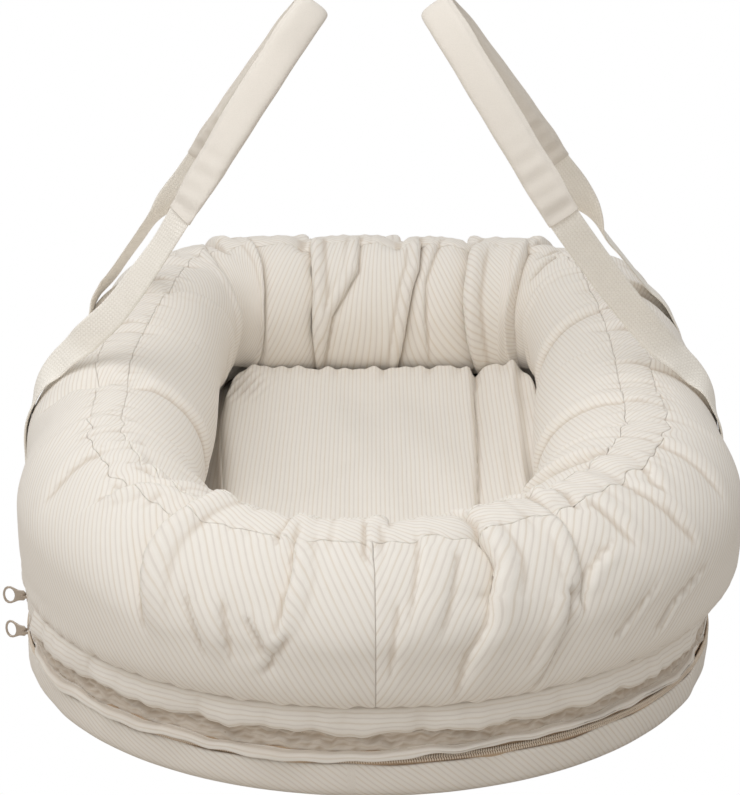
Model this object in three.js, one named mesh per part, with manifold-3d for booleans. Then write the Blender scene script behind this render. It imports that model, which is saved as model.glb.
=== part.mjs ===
// Infant lounger: a stuffed oval bumper ring zipped to a shallow mattress tray, with two
// webbing carry handles that have padded grips. Millimetres, +Z up, foot end at -Y.
import * as THREE from 'three';
import * as BufferGeometryUtils from 'three/addons/utils/BufferGeometryUtils.js';
import Module from 'manifold-3d';

const wasm = await Module();
wasm.setup();

const degree = Math.PI / 180;

// Clearances
const seat = 0.35;
const seamGap = 0.6;
const weldTolerance = 1e-4;

// Plan of the bumper's centre line: four tangent arcs from the foot to the head
const footRadius = 175;
const sideRadius = 2100;
const headCornerRadius = 74;
const footTurn = 86 * degree;
const sideTurn = 96.4 * degree;
const cornerTurn = 174 * degree;

// Bumper section
const bumperHalfWidth = 65;
const bumperHalfHeight = 57.2;
const bumperAboveZips = 14.1;
const footFall = 30;
const footFallPower = 3;
const headRise = 7;
const upperFullness = 1.9;
const outerLowFullness = 5;
const innerLowFullness = 2.6;
const crestOuterOffset = 15.4;
const crestInnerOffset = 9.8;
const bottomSeamOffset = 53;
const innerSeamRise = 22.9;
const underShare = 0.62;
const coverThickness = 1.6;
const seamDepth = 2.6;
const seamSpread = 9;
const puckerDepth = 0.8;
const innerFoldDepth = 2.4;
const tuckDepth = 7;
const tuckSpread = 19;
const bumperStations = 96;
// Tucks of the outer cover, as shares of the half way round: right side plus, left side minus
const tuckShares = [
  -0.146, -0.042, 0.0625, 0.125, 0.292, -0.313, -0.208, 0.583, -0.563,
  0.792, -0.813, 0.875, -0.896, 0.958, -0.958,
];

// Tray, board and mattress
const trayOffset = 52.4;
const trayWall = 1.6;
const trayBelowZip = 3.5;
const trayEdgeRound = 9.5;
const boardThickness = 3;
const boardInset = 5;
const mattressOffset = 45.5;
const mattressDrawIn = 2.2;
const mattressEdgeRound = 6;
const mattressShoulderDrop = 0.5;
const mattressRimRise = 17.9;
const mattressRimOffset = 71.5;
const mattressCrown = 4;
const restSlack = 0.7;

// Zips: tape, coil and the post gap between the two coils
const tapeOffset = 49.9;
const tapeThickness = 0.6;
const coilDepth = 1.9;
const coilWidth = 2.2;
const postGap = 1.2;
const tapeMargin = 5.4;
const lowerZipHeight = 27.5;
const zipSpacing = 15.5;

// Flaps and gusset
const flapThickness = 1.4;
const flapOverTape = 0.4;
const lowerFlapRise = 5.2;
const lowerFlapAboveZip = 3.5;
const upperFlapAboveZip = 4.3;
const gussetThickness = 1.2;
const gussetFold = 3;

// Sliders and pulls
const sliderLength = 11;
const sliderHeight = 6.2;
const plateThickness = 1.2;
const plateGap = 0.5;
const postThickness = 0.7;
const postLength = 2.6;
const bridgeSpan = 7;
const bridgeFoot = 1.3;
const bridgeOpening = 2.5;
const bridgeThickness = 1.2;
const bridgeWidth = 1.6;
const pullThickness = 1.2;
const pullBar = 1.2;
const pullEyeLength = 4;
const pullEyeWidth = 3;
const pullEyeRim = 1.2;
const pullNeckLength = 2;
const pullNeckWidth = 3.8;
const pullRingWidth = 9;
const pullRingLength = 9.6;
const pullRingRim = 2;
const lowerSliderAngle = 12 * degree;
const upperSliderAngle = 6 * degree;
const lowerPullTurn = 32 * degree;
const upperPullTurn = 12 * degree;

// Handles
const webbingWidth = 25;
const webbingThickness = 1.8;
const nearLegY = -30;
const farLegY = 182;
const pivotRise = 23.7;
const foldClearance = 2.6;
const footClear = 0.35;
const anchorFoot = 3;
const shoulderRun = 16;
const shoulderClear = 3.6;
const leaveRun = 32;
const leaveClear = 6.5;
const hemReach = 130;
const nearHemY = -70;
const farHemY = 95;
const hemRise = 148;
const topReach = 42;
const topY = 12;
const topRise = 271;
const bendHalfWidth = 25;
const bendDrop = 15;
const bendOut = 12;
const gripWidth = 28;
const gripThickness = 9.4;
const gripSlotSlack = 0.45;
const nearTwistStart = 24;
const nearTwistEnd = 72;
const farTwistStart = 112;
const farTwistEnd = 172;
const gripSides = 10;
const legShares = [0.15, 0.75];
const sectionSamples = 400;

// Ring stations: how finely each arc of the plan is cut
const footSteps = 27;
const sideSteps = 6;
const cornerSteps = 7;
const headSteps = 2;

const colours = {
  stripe: 0xe6e1d7, plain: 0xd8d0c3, webbing: 0xd7d0c0, tape: 0xaa9678,
  metal: 0x9c9184, board: 0xcfc6b4, fill: 0xefece6,
};

// Heights that stack up from the lower zip
const upperZipHeight = lowerZipHeight + zipSpacing;
const bumperBottom = upperZipHeight + bumperAboveZips;
const bumperCentreHeight = bumperBottom + bumperHalfHeight;
const innerSeamHeight = bumperBottom + innerSeamRise;
const trayHeight = lowerZipHeight - trayBelowZip;
const mattressShoulderHeight = bumperBottom - mattressShoulderDrop;
const mattressRimHeight = bumperBottom + mattressRimRise;
const pivotHeight = bumperCentreHeight + pivotRise;
const hemHeight = pivotHeight + hemRise;
const topHeight = pivotHeight + topRise;

const model = new THREE.Group();

// Plan arcs: heading at each joint, radius, and the derived head radius that closes the oval
const headings = [0, footTurn, sideTurn, cornerTurn, Math.PI];
const radii = [footRadius, sideRadius, headCornerRadius];
const reach = radii.reduce(
  (sum, radius, i) => sum + radius * (Math.sin(headings[i + 1]) - Math.sin(headings[i])), 0);
radii.push(reach / Math.sin(cornerTurn));
const halfLength = radii.reduce(
  (sum, radius, i) => sum + radius * (Math.cos(headings[i]) - Math.cos(headings[i + 1])), 0) / 2;
const arcs = [];
let startX = 0;
let startY = -halfLength;
let travelled = 0;
radii.forEach((radius, i) => {
  const centreX = startX - radius * Math.sin(headings[i]);
  const centreY = startY + radius * Math.cos(headings[i]);
  const length = radius * (headings[i + 1] - headings[i]);
  arcs.push({ radius, centreX, centreY, from: travelled, length, heading: headings[i] });
  startX = centreX + radius * Math.sin(headings[i + 1]);
  startY = centreY - radius * Math.cos(headings[i + 1]);
  travelled += length;
});
const halfRound = travelled;
const footCentreY = arcs[0].centreY;

// Point of the plan at a distance round from the foot (right side plus), moved out by offset
function planPoint(distance, offset) {
  const side = distance < 0 ? -1 : 1;
  const along = Math.min(Math.abs(distance), halfRound);
  const arc = arcs.filter((piece) => piece.from <= along).pop();
  const heading = arc.heading + (along - arc.from) / arc.radius;
  const radius = arc.radius + offset;
  return [
    side * (arc.centreX + radius * Math.sin(heading)),
    arc.centreY - radius * Math.cos(heading),
  ];
}

// Distance round at which the plan's side reaches a given y
function distanceAtY(y) {
  let low = arcs[1].from;
  let high = arcs[2].from;
  for (let i = 0; i < bumperStations; i += 1) {
    const middle = (low + high) / 2;
    if (planPoint(middle, 0)[1] < y) low = middle;
    else high = middle;
  }
  return (low + high) / 2;
}

// Even steps from one value to another
function steps(from, to, count) {
  return Array.from({ length: count + 1 }, (unused, i) => from + (to - from) * i / count);
}

// Closed list of distances round for the bands: every arc cut evenly, both sides
function ringDistances() {
  const counts = [footSteps, sideSteps, cornerSteps, headSteps];
  const right = [];
  arcs.forEach((arc, i) => {
    const cut = i === 0 ? (footSteps - 1) / 2 : counts[i];
    right.push(...steps(arc.from, arc.from + arc.length, cut).slice(i === 0 ? 0 : 1));
  });
  const left = right.slice(1, -1).map((distance) => -distance).reverse();
  return [...right, ...left];
}
const bandDistances = ringDistances();

// Solid between rings of points; open stacks are capped, and the faces are turned outwards.
// Past a turned point of the ring the diagonals lean the other way, so that the inside of a
// cover has the same facets as its outside.
function loft(rings, closed, turned = rings[0].length / 2) {
  const count = rings[0].length;
  const corners = rings.flat(2);
  const index = [];
  const last = closed ? rings.length : rings.length - 1;
  for (let j = 0; j < last; j += 1) {
    const next = (j + 1) % rings.length;
    for (let i = 0; i < count; i += 1) {
      const k = (i + 1) % count;
      const [a, b, c, d] = [j * count + i, j * count + k, next * count + k, next * count + i];
      if (i < turned) index.push(a, b, c, a, c, d);
      else index.push(a, b, d, b, c, d);
    }
  }
  if (!closed) {
    [[0, false], [(rings.length - 1) * count, true]].forEach(([base, far]) => {
      for (let i = 0; i < count / 2 - 1; i += 1) {
        const a = base + i;
        const b = base + i + 1;
        const c = base + count - 2 - i;
        const d = base + count - 1 - i;
        const tris = b === c ? [[a, b, d]] : [[a, b, c], [a, c, d]];
        tris.forEach((t) => index.push(...(far ? t : [t[0], t[2], t[1]])));
      }
    });
  }
  const geometry = new THREE.BufferGeometry();
  geometry.setAttribute('position', new THREE.Float32BufferAttribute(corners, 3));
  geometry.setIndex(index);
  if (signedVolume(geometry) < 0) {
    for (let i = 0; i < index.length; i += 3) {
      [index[i + 1], index[i + 2]] = [index[i + 2], index[i + 1]];
    }
    geometry.setIndex(index);
  }
  return geometry;
}

function signedVolume(geometry) {
  const at = geometry.getAttribute('position');
  const index = geometry.getIndex().array;
  const [a, b, c] = [new THREE.Vector3(), new THREE.Vector3(), new THREE.Vector3()];
  let total = 0;
  for (let i = 0; i < index.length; i += 3) {
    a.fromBufferAttribute(at, index[i]);
    b.fromBufferAttribute(at, index[i + 1]);
    c.fromBufferAttribute(at, index[i + 2]);
    total += a.dot(b.cross(c)) / 6;
  }
  return total;
}

function addMesh(name, geometry, color, roughness, metalness = 0, parent = model) {
  const material = new THREE.MeshStandardMaterial({ color, roughness, metalness });
  const mesh = new THREE.Mesh(geometry, material);
  mesh.name = name;
  parent.add(mesh);
  return mesh;
}

// Band that runs right round: the section is a closed list of [offset, height] pairs
function ringBand(name, section, color, roughness) {
  const rings = bandDistances.map((distance, j) => {
    const outline = typeof section === 'function' ? section(j) : section;
    return outline.map(([offset, height]) => [...planPoint(distance, offset), height]);
  });
  addMesh(name, loft(rings, true), color, roughness);
}

// Level ring of the plan at an offset and height, or shrunk towards the middle by a share
function levelRing(offset, height, share = 1) {
  return bandDistances.map((distance) => {
    const [x, y] = planPoint(distance, offset);
    return [x * share, y * share, height];
  });
}

// Base tray: bottom panel wrapped up the side, with a rounded lower edge
const edgeShare = 0.7;
const trayInner = trayOffset - trayWall;
addMesh('base_tray', loft([
  levelRing(trayOffset - trayEdgeRound, 0),
  levelRing(trayOffset - trayEdgeRound * (1 - edgeShare), trayEdgeRound * (1 - edgeShare)),
  levelRing(trayOffset, trayEdgeRound),
  levelRing(trayOffset, trayHeight),
  levelRing(trayInner, trayHeight),
  levelRing(trayInner, trayEdgeRound),
  levelRing(trayInner - trayEdgeRound * (1 - edgeShare),
    trayWall + trayEdgeRound * (1 - edgeShare) / 2),
  levelRing(trayInner - trayEdgeRound, trayWall),
], false), colours.stripe, 0.9);

// Board that stiffens the tray
const boardOffset = trayInner - trayEdgeRound - boardInset;
const boardBottom = trayWall + seat;
const boardTop = boardBottom + boardThickness;
addMesh('base_board', loft([
  levelRing(boardOffset, boardBottom),
  levelRing(boardOffset, boardTop),
], false), colours.board, 0.8);

// Zip half: tape with its coil on the outer face; side is +1 above the zip's line, -1 below
function zipHalf(name, height, side, margin) {
  const inner = height + side * postGap / 2;
  const coilEdge = inner + side * coilWidth;
  const tapeEdge = coilEdge + side * margin;
  ringBand(name, [
    [tapeOffset, tapeEdge],
    [tapeOffset, inner],
    [tapeOffset + coilDepth, inner],
    [tapeOffset + coilDepth, coilEdge],
    [tapeOffset + tapeThickness, coilEdge + side * tapeThickness],
    [tapeOffset + tapeThickness, tapeEdge],
  ], colours.tape, 0.7);
}
const gussetBottom = lowerZipHeight + lowerFlapAboveZip;
const gussetTop = upperZipHeight - lowerFlapAboveZip;
zipHalf('lower_zip_lower_tape', lowerZipHeight, -1, tapeMargin);
zipHalf('lower_zip_upper_tape', lowerZipHeight, 1, tapeMargin - coilWidth / 2);
zipHalf('upper_zip_lower_tape', upperZipHeight, -1, tapeMargin / 2);
zipHalf('upper_zip_upper_tape', upperZipHeight, 1, tapeMargin * 2);

// Flaps over the zips and the crumpled gusset between them
const flapInner = tapeOffset + tapeThickness + flapOverTape;
const flapOuter = flapInner + flapThickness;
function ringStrip(name, inner, outer, bottom, top) {
  ringBand(name, [[inner, bottom], [outer, bottom], [outer, top], [inner, top]],
    colours.stripe, 0.9);
}
ringStrip('lower_zip_flap', flapInner, flapOuter, gussetBottom, gussetBottom + lowerFlapRise);

const gussetOuter = tapeOffset - flapOverTape;
ringBand('zip_gusset', (j) => {
  const fold = gussetFold * (j % 2 ? 0.9 : 0.35);
  const middle = (gussetBottom + gussetTop) / 2;
  return [
    [gussetOuter, gussetBottom],
    [gussetOuter - fold, middle],
    [gussetOuter, gussetTop],
    [gussetOuter - gussetThickness, gussetTop],
    [gussetOuter - gussetThickness - fold, middle],
    [gussetOuter - gussetThickness, gussetBottom],
  ];
}, colours.stripe, 0.95);

// Bumper section: angle 0 points outwards, a quarter turn is the crest
function sectionPoint(angle) {
  const c = Math.cos(angle);
  const s = Math.sin(angle);
  const lowFullness = c > 0 ? outerLowFullness : innerLowFullness;
  const power = 2 / (s > 0 ? upperFullness : lowFullness);
  return [
    bumperHalfWidth * Math.sign(c) * Math.abs(c) ** power,
    bumperCentreHeight + bumperHalfHeight * Math.sign(s) * Math.abs(s) ** power,
  ];
}
const sectionTable = steps(-Math.PI / 2, Math.PI * 3 / 2, sectionSamples).map(sectionPoint);
const sectionRun = [0];
for (let i = 1; i < sectionTable.length; i += 1) {
  const [x0, z0] = sectionTable[i - 1];
  const [x1, z1] = sectionTable[i];
  sectionRun.push(sectionRun[i - 1] + Math.hypot(x1 - x0, z1 - z0));
}
const sectionRound = sectionRun[sectionSamples];

// Point and outward normal of the section at a run along it from the bottom, outside first
function sectionAt(run) {
  const wrapped = ((run % sectionRound) + sectionRound) % sectionRound;
  let i = 1;
  while (i < sectionSamples && sectionRun[i] < wrapped) i += 1;
  const span = sectionRun[i] - sectionRun[i - 1];
  const share = (wrapped - sectionRun[i - 1]) / span;
  const [x0, z0] = sectionTable[i - 1];
  const [x1, z1] = sectionTable[i];
  return {
    offset: x0 + (x1 - x0) * share,
    height: z0 + (z1 - z0) * share,
    outX: (z1 - z0) / span,
    outZ: -(x1 - x0) / span,
  };
}
function runWhere(test) {
  return sectionRun[sectionTable.findIndex(test)];
}
const bottomSeamRun = runWhere(([x]) => x > bottomSeamOffset);
const crestOuterRun = runWhere(([x, z]) => z > bumperCentreHeight && x < crestOuterOffset);
const crestInnerRun = runWhere(([x, z]) => z > bumperCentreHeight && x < -crestInnerOffset);
const innerSeamRun = runWhere(([x, z], i) => i > sectionSamples / 2 && z < innerSeamHeight);

const stationGap = halfRound * 2 / bumperStations;
const tuckPlaces = tuckShares.map((share) => Math.round(share * halfRound / stationGap) * stationGap);

// How far the cover is drawn in at a place: seams, gathers beside them, and the outer tucks
function drawIn(distance, run) {
  const station = Math.round(Math.abs(distance) / stationGap);
  const seam = (place, depth) => depth * Math.exp(-(((run - place) / seamSpread) ** 2));
  const gathers = puckerDepth * (station % 2 ? 1 : -1);
  let depth = seam(crestOuterRun, seamDepth + gathers);
  depth += seam(crestInnerRun, seamDepth - gathers);
  if (run > crestInnerRun) {
    const share = Math.min((run - crestInnerRun) / (innerSeamRun - crestInnerRun), 1);
    const wave = station % 3 === 0 ? 1 : 0;
    depth += innerFoldDepth * wave * Math.sin(Math.PI * share);
  } else if (run < crestOuterRun) {
    const share = Math.max((crestOuterRun - run) / (crestOuterRun - bottomSeamRun), 0);
    const fade = share < 1 ? Math.cos(share * Math.PI / 2) ** 0.6 : 0;
    tuckPlaces.forEach((place) => {
      depth += tuckDepth * fade * Math.exp(-(((distance - place) / tuckSpread) ** 2));
    });
  }
  return depth;
}

// Height after the rim's fall towards the foot and rise towards the head
function lifted(y, height) {
  const share = y / (halfLength + bumperHalfWidth);
  const lift = share < 0 ? -footFall * (-share) ** footFallPower : headRise * share * share;
  return height + lift * (height - bumperBottom) / (bumperHalfHeight * 2);
}

// Point of the cover at a place round the ring and along the section, inset by a thickness
function coverPoint(distance, run, inset) {
  const at = sectionAt(run);
  const depth = drawIn(distance, run) + inset;
  const [x, y] = planPoint(distance, at.offset - at.outX * depth);
  return [x, y, lifted(y, at.height - at.outZ * depth)];
}

// One cover panel: runs along the section, distances round, closed right round or not
function coverPanel(name, runs, distances, closed, color) {
  const rings = distances.map((distance) => [
    ...runs.map((run) => coverPoint(distance, run, 0)),
    ...runs.map((run) => coverPoint(distance, run, coverThickness)).reverse(),
  ]);
  addMesh(name, loft(rings, closed), color, 0.9);
}
const rightDistances = steps(0, halfRound, bumperStations / 2);
const ringRound = [
  ...rightDistances,
  ...rightDistances.slice(1, -1).map((distance) => -distance).reverse(),
];
const halfSeam = seamGap / 2;
const outerRuns = steps(bottomSeamRun + halfSeam, crestOuterRun - halfSeam, 5);
const crestRuns = steps(crestOuterRun + halfSeam, crestInnerRun - halfSeam, 2);
const innerRuns = steps(crestInnerRun + halfSeam, innerSeamRun, 4);
const panelDistances = rightDistances.slice();
panelDistances[0] = halfSeam;
panelDistances[panelDistances.length - 1] = halfRound - halfSeam;
coverPanel('bumper_outer_right', outerRuns, panelDistances, false, colours.stripe);
coverPanel('bumper_outer_left', outerRuns,
  panelDistances.map((distance) => -distance).reverse(), false, colours.stripe);
coverPanel('bumper_crest_band', crestRuns, ringRound, true, colours.stripe);
coverPanel('bumper_inner_panel', innerRuns, ringRound, true, colours.stripe);

// Filling of the bumper: the same form a cover's thickness and a seat further in
const fillRuns = [...outerRuns, ...crestRuns.slice(1), ...innerRuns.slice(1)];
fillRuns.push(innerSeamRun + (sectionRound - innerSeamRun) * underShare);
const fillInset = coverThickness + seat;
const fillRings = ringRound.map((distance) => fillRuns.map(
  (run) => coverPoint(distance, run, fillInset)));
addMesh('bumper_filling', loft(fillRings, true, fillRuns.length), colours.fill, 1);

// Flap over the upper zip: its top edge follows the lower edge of the bumper's cover
const coverEdge = sectionAt(bottomSeamRun + halfSeam);
ringBand('upper_zip_flap', (j) => {
  const [, y] = planPoint(bandDistances[j], bumperHalfWidth);
  const bottom = upperZipHeight + upperFlapAboveZip;
  const top = lifted(y, coverEdge.height) - seat;
  return [[flapInner, bottom], [flapOuter, bottom], [flapOuter, top], [flapInner, top]];
}, colours.stripe, 0.9);

// Mattress: drawn-in sides under the bumper, a shoulder, and a crown inside the nest
const mattressBottom = boardTop + seat;
const crownShares = [0.62, 0.28];
const underside = sectionAt(fillRuns[fillRuns.length - 1]);
const restOffset = underside.offset - underside.outX * fillInset;
const restHeight = underside.height - underside.outZ * fillInset - seat - restSlack;
addMesh('mattress', loft([
  levelRing(mattressOffset - mattressEdgeRound, mattressBottom),
  levelRing(mattressOffset, mattressBottom + mattressEdgeRound),
  levelRing(mattressOffset - mattressDrawIn, (mattressBottom + mattressShoulderHeight) / 2),
  levelRing(mattressOffset, mattressShoulderHeight - mattressEdgeRound),
  levelRing(mattressOffset - mattressEdgeRound, mattressShoulderHeight),
  levelRing(restOffset, restHeight),
  levelRing(-mattressRimOffset * 0.85, mattressRimHeight - mattressCrown),
  levelRing(-mattressRimOffset, mattressRimHeight),
  levelRing(-mattressRimOffset, mattressRimHeight + mattressCrown * 0.6, crownShares[0]),
  levelRing(-mattressRimOffset, mattressRimHeight + mattressCrown, crownShares[1]),
], false), colours.stripe, 0.9);

// Ribbon along frames of centre, width direction and face direction, with its own section
function ribbonRow(frame, halfWidth, halfThickness) {
  return [[-1, -1], [1, -1], [1, 1], [-1, 1]].map(([across, out]) => frame.centre.clone()
    .addScaledVector(frame.width, across * halfWidth)
    .addScaledVector(frame.face, out * halfThickness).toArray());
}

// Strap lengths sewn flat to the side of the bumper, from its bottom seam to the swing line
const outerGap = seamGap + webbingThickness / 2;
const pivotRun = runWhere(([x, z]) => x > 0 && z > pivotHeight);
function strapPoint(distance, at, clear = 0) {
  const gap = outerGap + clear;
  const [x, y] = planPoint(distance, at.offset + at.outX * gap);
  return new THREE.Vector3(x, y, lifted(y, at.height + at.outZ * gap));
}
function strapAnchor(name, side, y) {
  const distance = side * distanceAtY(y);
  const tip = pivotRun - webbingThickness / 2 - foldClearance;
  const inside = new THREE.Vector3(...planPoint(distance, 0), 0);
  const outward = new THREE.Vector3(...planPoint(distance, bumperHalfWidth), 0).sub(inside);
  outward.normalize();
  const along = new THREE.Vector3(-outward.y, outward.x, 0);
  const rows = steps(bottomSeamRun + anchorFoot, tip, 8).map((run) => {
    const at = sectionAt(run);
    return ribbonRow({
      centre: strapPoint(distance, at),
      width: along,
      face: outward.clone().multiplyScalar(at.outX).setZ(at.outZ),
    }, webbingWidth / 2, webbingThickness / 2);
  });
  addMesh(name, loft(rows, false), colours.webbing, 0.85);
}

// Foot of a leg: from its swing line it follows the shoulder of the bumper and leaves it
function legFoot(side, y, hem) {
  const distance = side * distanceAtY(y);
  const foot = [[0, footClear], [shoulderRun, shoulderClear], [leaveRun, leaveClear]].map(
    ([run, clear]) => strapPoint(distance, sectionAt(pivotRun + run), clear));
  const straight = legShares.map((share) => foot[2].clone().lerp(hem, share));
  return [...foot, ...straight, hem];
}

// Handle: one webbing loop that twists a quarter turn in each leg, with a padded grip
function handle(word, side) {
  const top = new THREE.Vector3(side * topReach, topY, topHeight);
  const beside = (sign) => new THREE.Vector3(side * (topReach + bendOut),
    topY + sign * bendHalfWidth, topHeight - bendDrop);
  const nearLeg = legFoot(side, nearLegY, new THREE.Vector3(side * hemReach, nearHemY, hemHeight));
  const farLeg = legFoot(side, farLegY, new THREE.Vector3(side * hemReach, farHemY, hemHeight));
  const [near, far] = [nearLeg[0], farLeg[0]];
  const path = new THREE.CatmullRomCurve3([
    ...nearLeg, beside(-1), top, beside(1), ...farLeg.slice().reverse(),
  ], false, 'centripetal');
  const total = path.getLength();
  const knots = path.points.length - 1;
  const hemFrom = pathShare(path, (nearLeg.length - 1) / knots);
  const hemTo = pathShare(path, 1 - (farLeg.length - 1) / knots);
  const bendFrom = pathShare(path, nearLeg.length / knots);
  const bendTo = pathShare(path, 1 - farLeg.length / knots);
  const lean = top.clone().sub(near.clone().add(far).multiplyScalar(0.5)).normalize();
  const across = far.clone().sub(near).normalize();
  const planeOut = lean.clone().cross(across).normalize();
  const shares = [
    ...steps(0, hemFrom, 12),
    ...steps(hemFrom, bendFrom, 7).slice(1),
    ...steps(bendFrom, bendTo, 10).slice(1),
    ...steps(bendTo, hemTo, 7).slice(1),
    ...steps(hemTo, 1, 12).slice(1),
  ];
  const frames = shares.map((share) => {
    const turn = Math.PI / 2 * Math.min(
      THREE.MathUtils.smoothstep(share * total, nearTwistStart, nearTwistEnd),
      THREE.MathUtils.smoothstep((1 - share) * total, farTwistStart, farTwistEnd));
    const tangent = path.getTangentAt(share);
    const width = across.clone().multiplyScalar(Math.cos(turn))
      .addScaledVector(planeOut, Math.sin(turn));
    width.addScaledVector(tangent, -width.dot(tangent)).normalize();
    return { centre: path.getPointAt(share), width, face: tangent.cross(width) };
  });
  const rows = frames.map((frame) => ribbonRow(frame, webbingWidth / 2, webbingThickness / 2));
  // Rounded ends, so that each leg turns on its swing line
  const endShares = [0.7, 0.25];
  endShares.forEach((thin, i) => {
    const reachOut = webbingThickness / 2 * (i ? 0.97 : 0.7);
    [[frames[0], -1, 0], [frames[frames.length - 1], 1, 1]].forEach(([frame, sign, last]) => {
      const tangent = path.getTangentAt(last);
      const centre = frame.centre.clone().addScaledVector(tangent, sign * reachOut);
      const row = ribbonRow({ ...frame, centre }, webbingWidth / 2, webbingThickness / 2 * thin);
      if (sign < 0) rows.unshift(row);
      else rows.push(row);
    });
  });
  addMesh(`${word}_handle_webbing`, loft(rows, false), colours.webbing, 0.85);

  const gripFrames = frames.filter((frame, i) => shares[i] >= hemFrom && shares[i] <= hemTo);
  const slotWidth = webbingWidth / 2 + gripSlotSlack;
  const slotThickness = webbingThickness / 2 + gripSlotSlack;
  const gripRings = Array.from({ length: gripSides }, (unused, i) => {
    const turn = (i + 0.5) * 2 * Math.PI / gripSides;
    const round = (value, power) => Math.sign(value) * Math.abs(value) ** power;
    const c = round(Math.cos(turn), 0.55);
    const s = round(Math.sin(turn), 0.75);
    const cornerC = Math.sign(Math.cos(turn)) * Math.min(1, Math.abs(Math.cos(turn)) * 1.6);
    const cornerS = Math.sign(Math.sin(turn));
    const level = Math.abs(Math.sin(turn)) < 0.2;
    const at = (frame, halfWidth, halfThickness) => frame.centre.clone()
      .addScaledVector(frame.width, halfWidth).addScaledVector(frame.face, halfThickness)
      .toArray();
    return [
      ...gripFrames.map((frame) => at(frame, c * gripWidth / 2, s * gripThickness / 2)),
      ...gripFrames.map((frame) => at(frame, cornerC * slotWidth,
        level ? 0 : cornerS * slotThickness)).reverse(),
    ];
  });
  addMesh(`${word}_grip_sleeve`, loft(gripRings, true), colours.plain, 0.95);
}

// Share of a path's length at one of its evenly spaced knots
function pathShare(path, knot) {
  const lengths = path.getLengths(sectionSamples);
  return lengths[Math.round(knot * sectionSamples)] / lengths[sectionSamples];
}

[['left', -1], ['right', 1]].forEach(([word, side]) => {
  strapAnchor(`${word}_strap_near`, side, nearLegY);
  strapAnchor(`${word}_strap_far`, side, farLegY);
  handle(word, side);
});

// Booleans on closed meshes
function toSolid(geometry) {
  const bare = geometry.clone();
  ['normal', 'uv'].forEach((key) => bare.deleteAttribute(key));
  const merged = BufferGeometryUtils.mergeVertices(bare, weldTolerance);
  return new wasm.Manifold(new wasm.Mesh({
    numProp: 3,
    vertProperties: new Float32Array(merged.getAttribute('position').array),
    triVerts: new Uint32Array(merged.getIndex().array),
  }));
}
function fromSolid(solid) {
  const mesh = solid.getMesh();
  const geometry = new THREE.BufferGeometry();
  geometry.setAttribute('position', new THREE.BufferAttribute(mesh.vertProperties, 3));
  geometry.setIndex(new THREE.BufferAttribute(mesh.triVerts, 1));
  return geometry;
}
function block(sizeX, sizeY, sizeZ, x, y, z) {
  return toSolid(new THREE.BoxGeometry(sizeX, sizeY, sizeZ).translate(x, y, z));
}

// Slider, drawn with the zip along X and its outer face towards -Y; the coils run between
// two shield-shaped plates that one thin post joins, under a bridge for the pull
const channelInner = -plateGap;
const channelOuter = coilDepth + plateGap;
const plateShares = [
  [-0.5, 0.3], [-0.36, 0.46], [0.2, 0.5], [0.4, 0.42], [0.5, 0.24],
];
function sliderPlate(inner) {
  const outline = new THREE.Shape();
  const edge = [...plateShares, ...plateShares.map(([x, z]) => [x, -z]).reverse()];
  edge.forEach(([x, z], i) => {
    const point = [x * sliderLength, z * sliderHeight];
    if (i) outline.lineTo(...point);
    else outline.moveTo(...point);
  });
  const plate = new THREE.ExtrudeGeometry(outline, { depth: plateThickness, bevelEnabled: false });
  plate.rotateX(Math.PI / 2);
  return toSolid(plate.translate(0, -inner, 0));
}
const bridgeBase = channelOuter + plateThickness;
const pullBarOut = bridgeBase + bridgeOpening / 2;
function sliderGeometry() {
  const sink = plateThickness / 2;
  const channel = channelOuter - channelInner;
  let body = sliderPlate(channelOuter).add(sliderPlate(channelInner - plateThickness));
  body = body.add(block(postLength, channel + plateThickness, postThickness,
    sliderLength / 4, -(channelInner + channelOuter) / 2, 0));
  const height = bridgeOpening + bridgeThickness + sink;
  const arch = block(bridgeSpan, height, bridgeWidth, 0, -(bridgeBase - sink + height / 2), 0);
  const hole = block(bridgeSpan - bridgeFoot * 2, bridgeOpening, bridgeWidth * 2, 0,
    -(bridgeBase + bridgeOpening / 2), 0);
  return fromSolid(body.add(arch.subtract(hole)));
}

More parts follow.
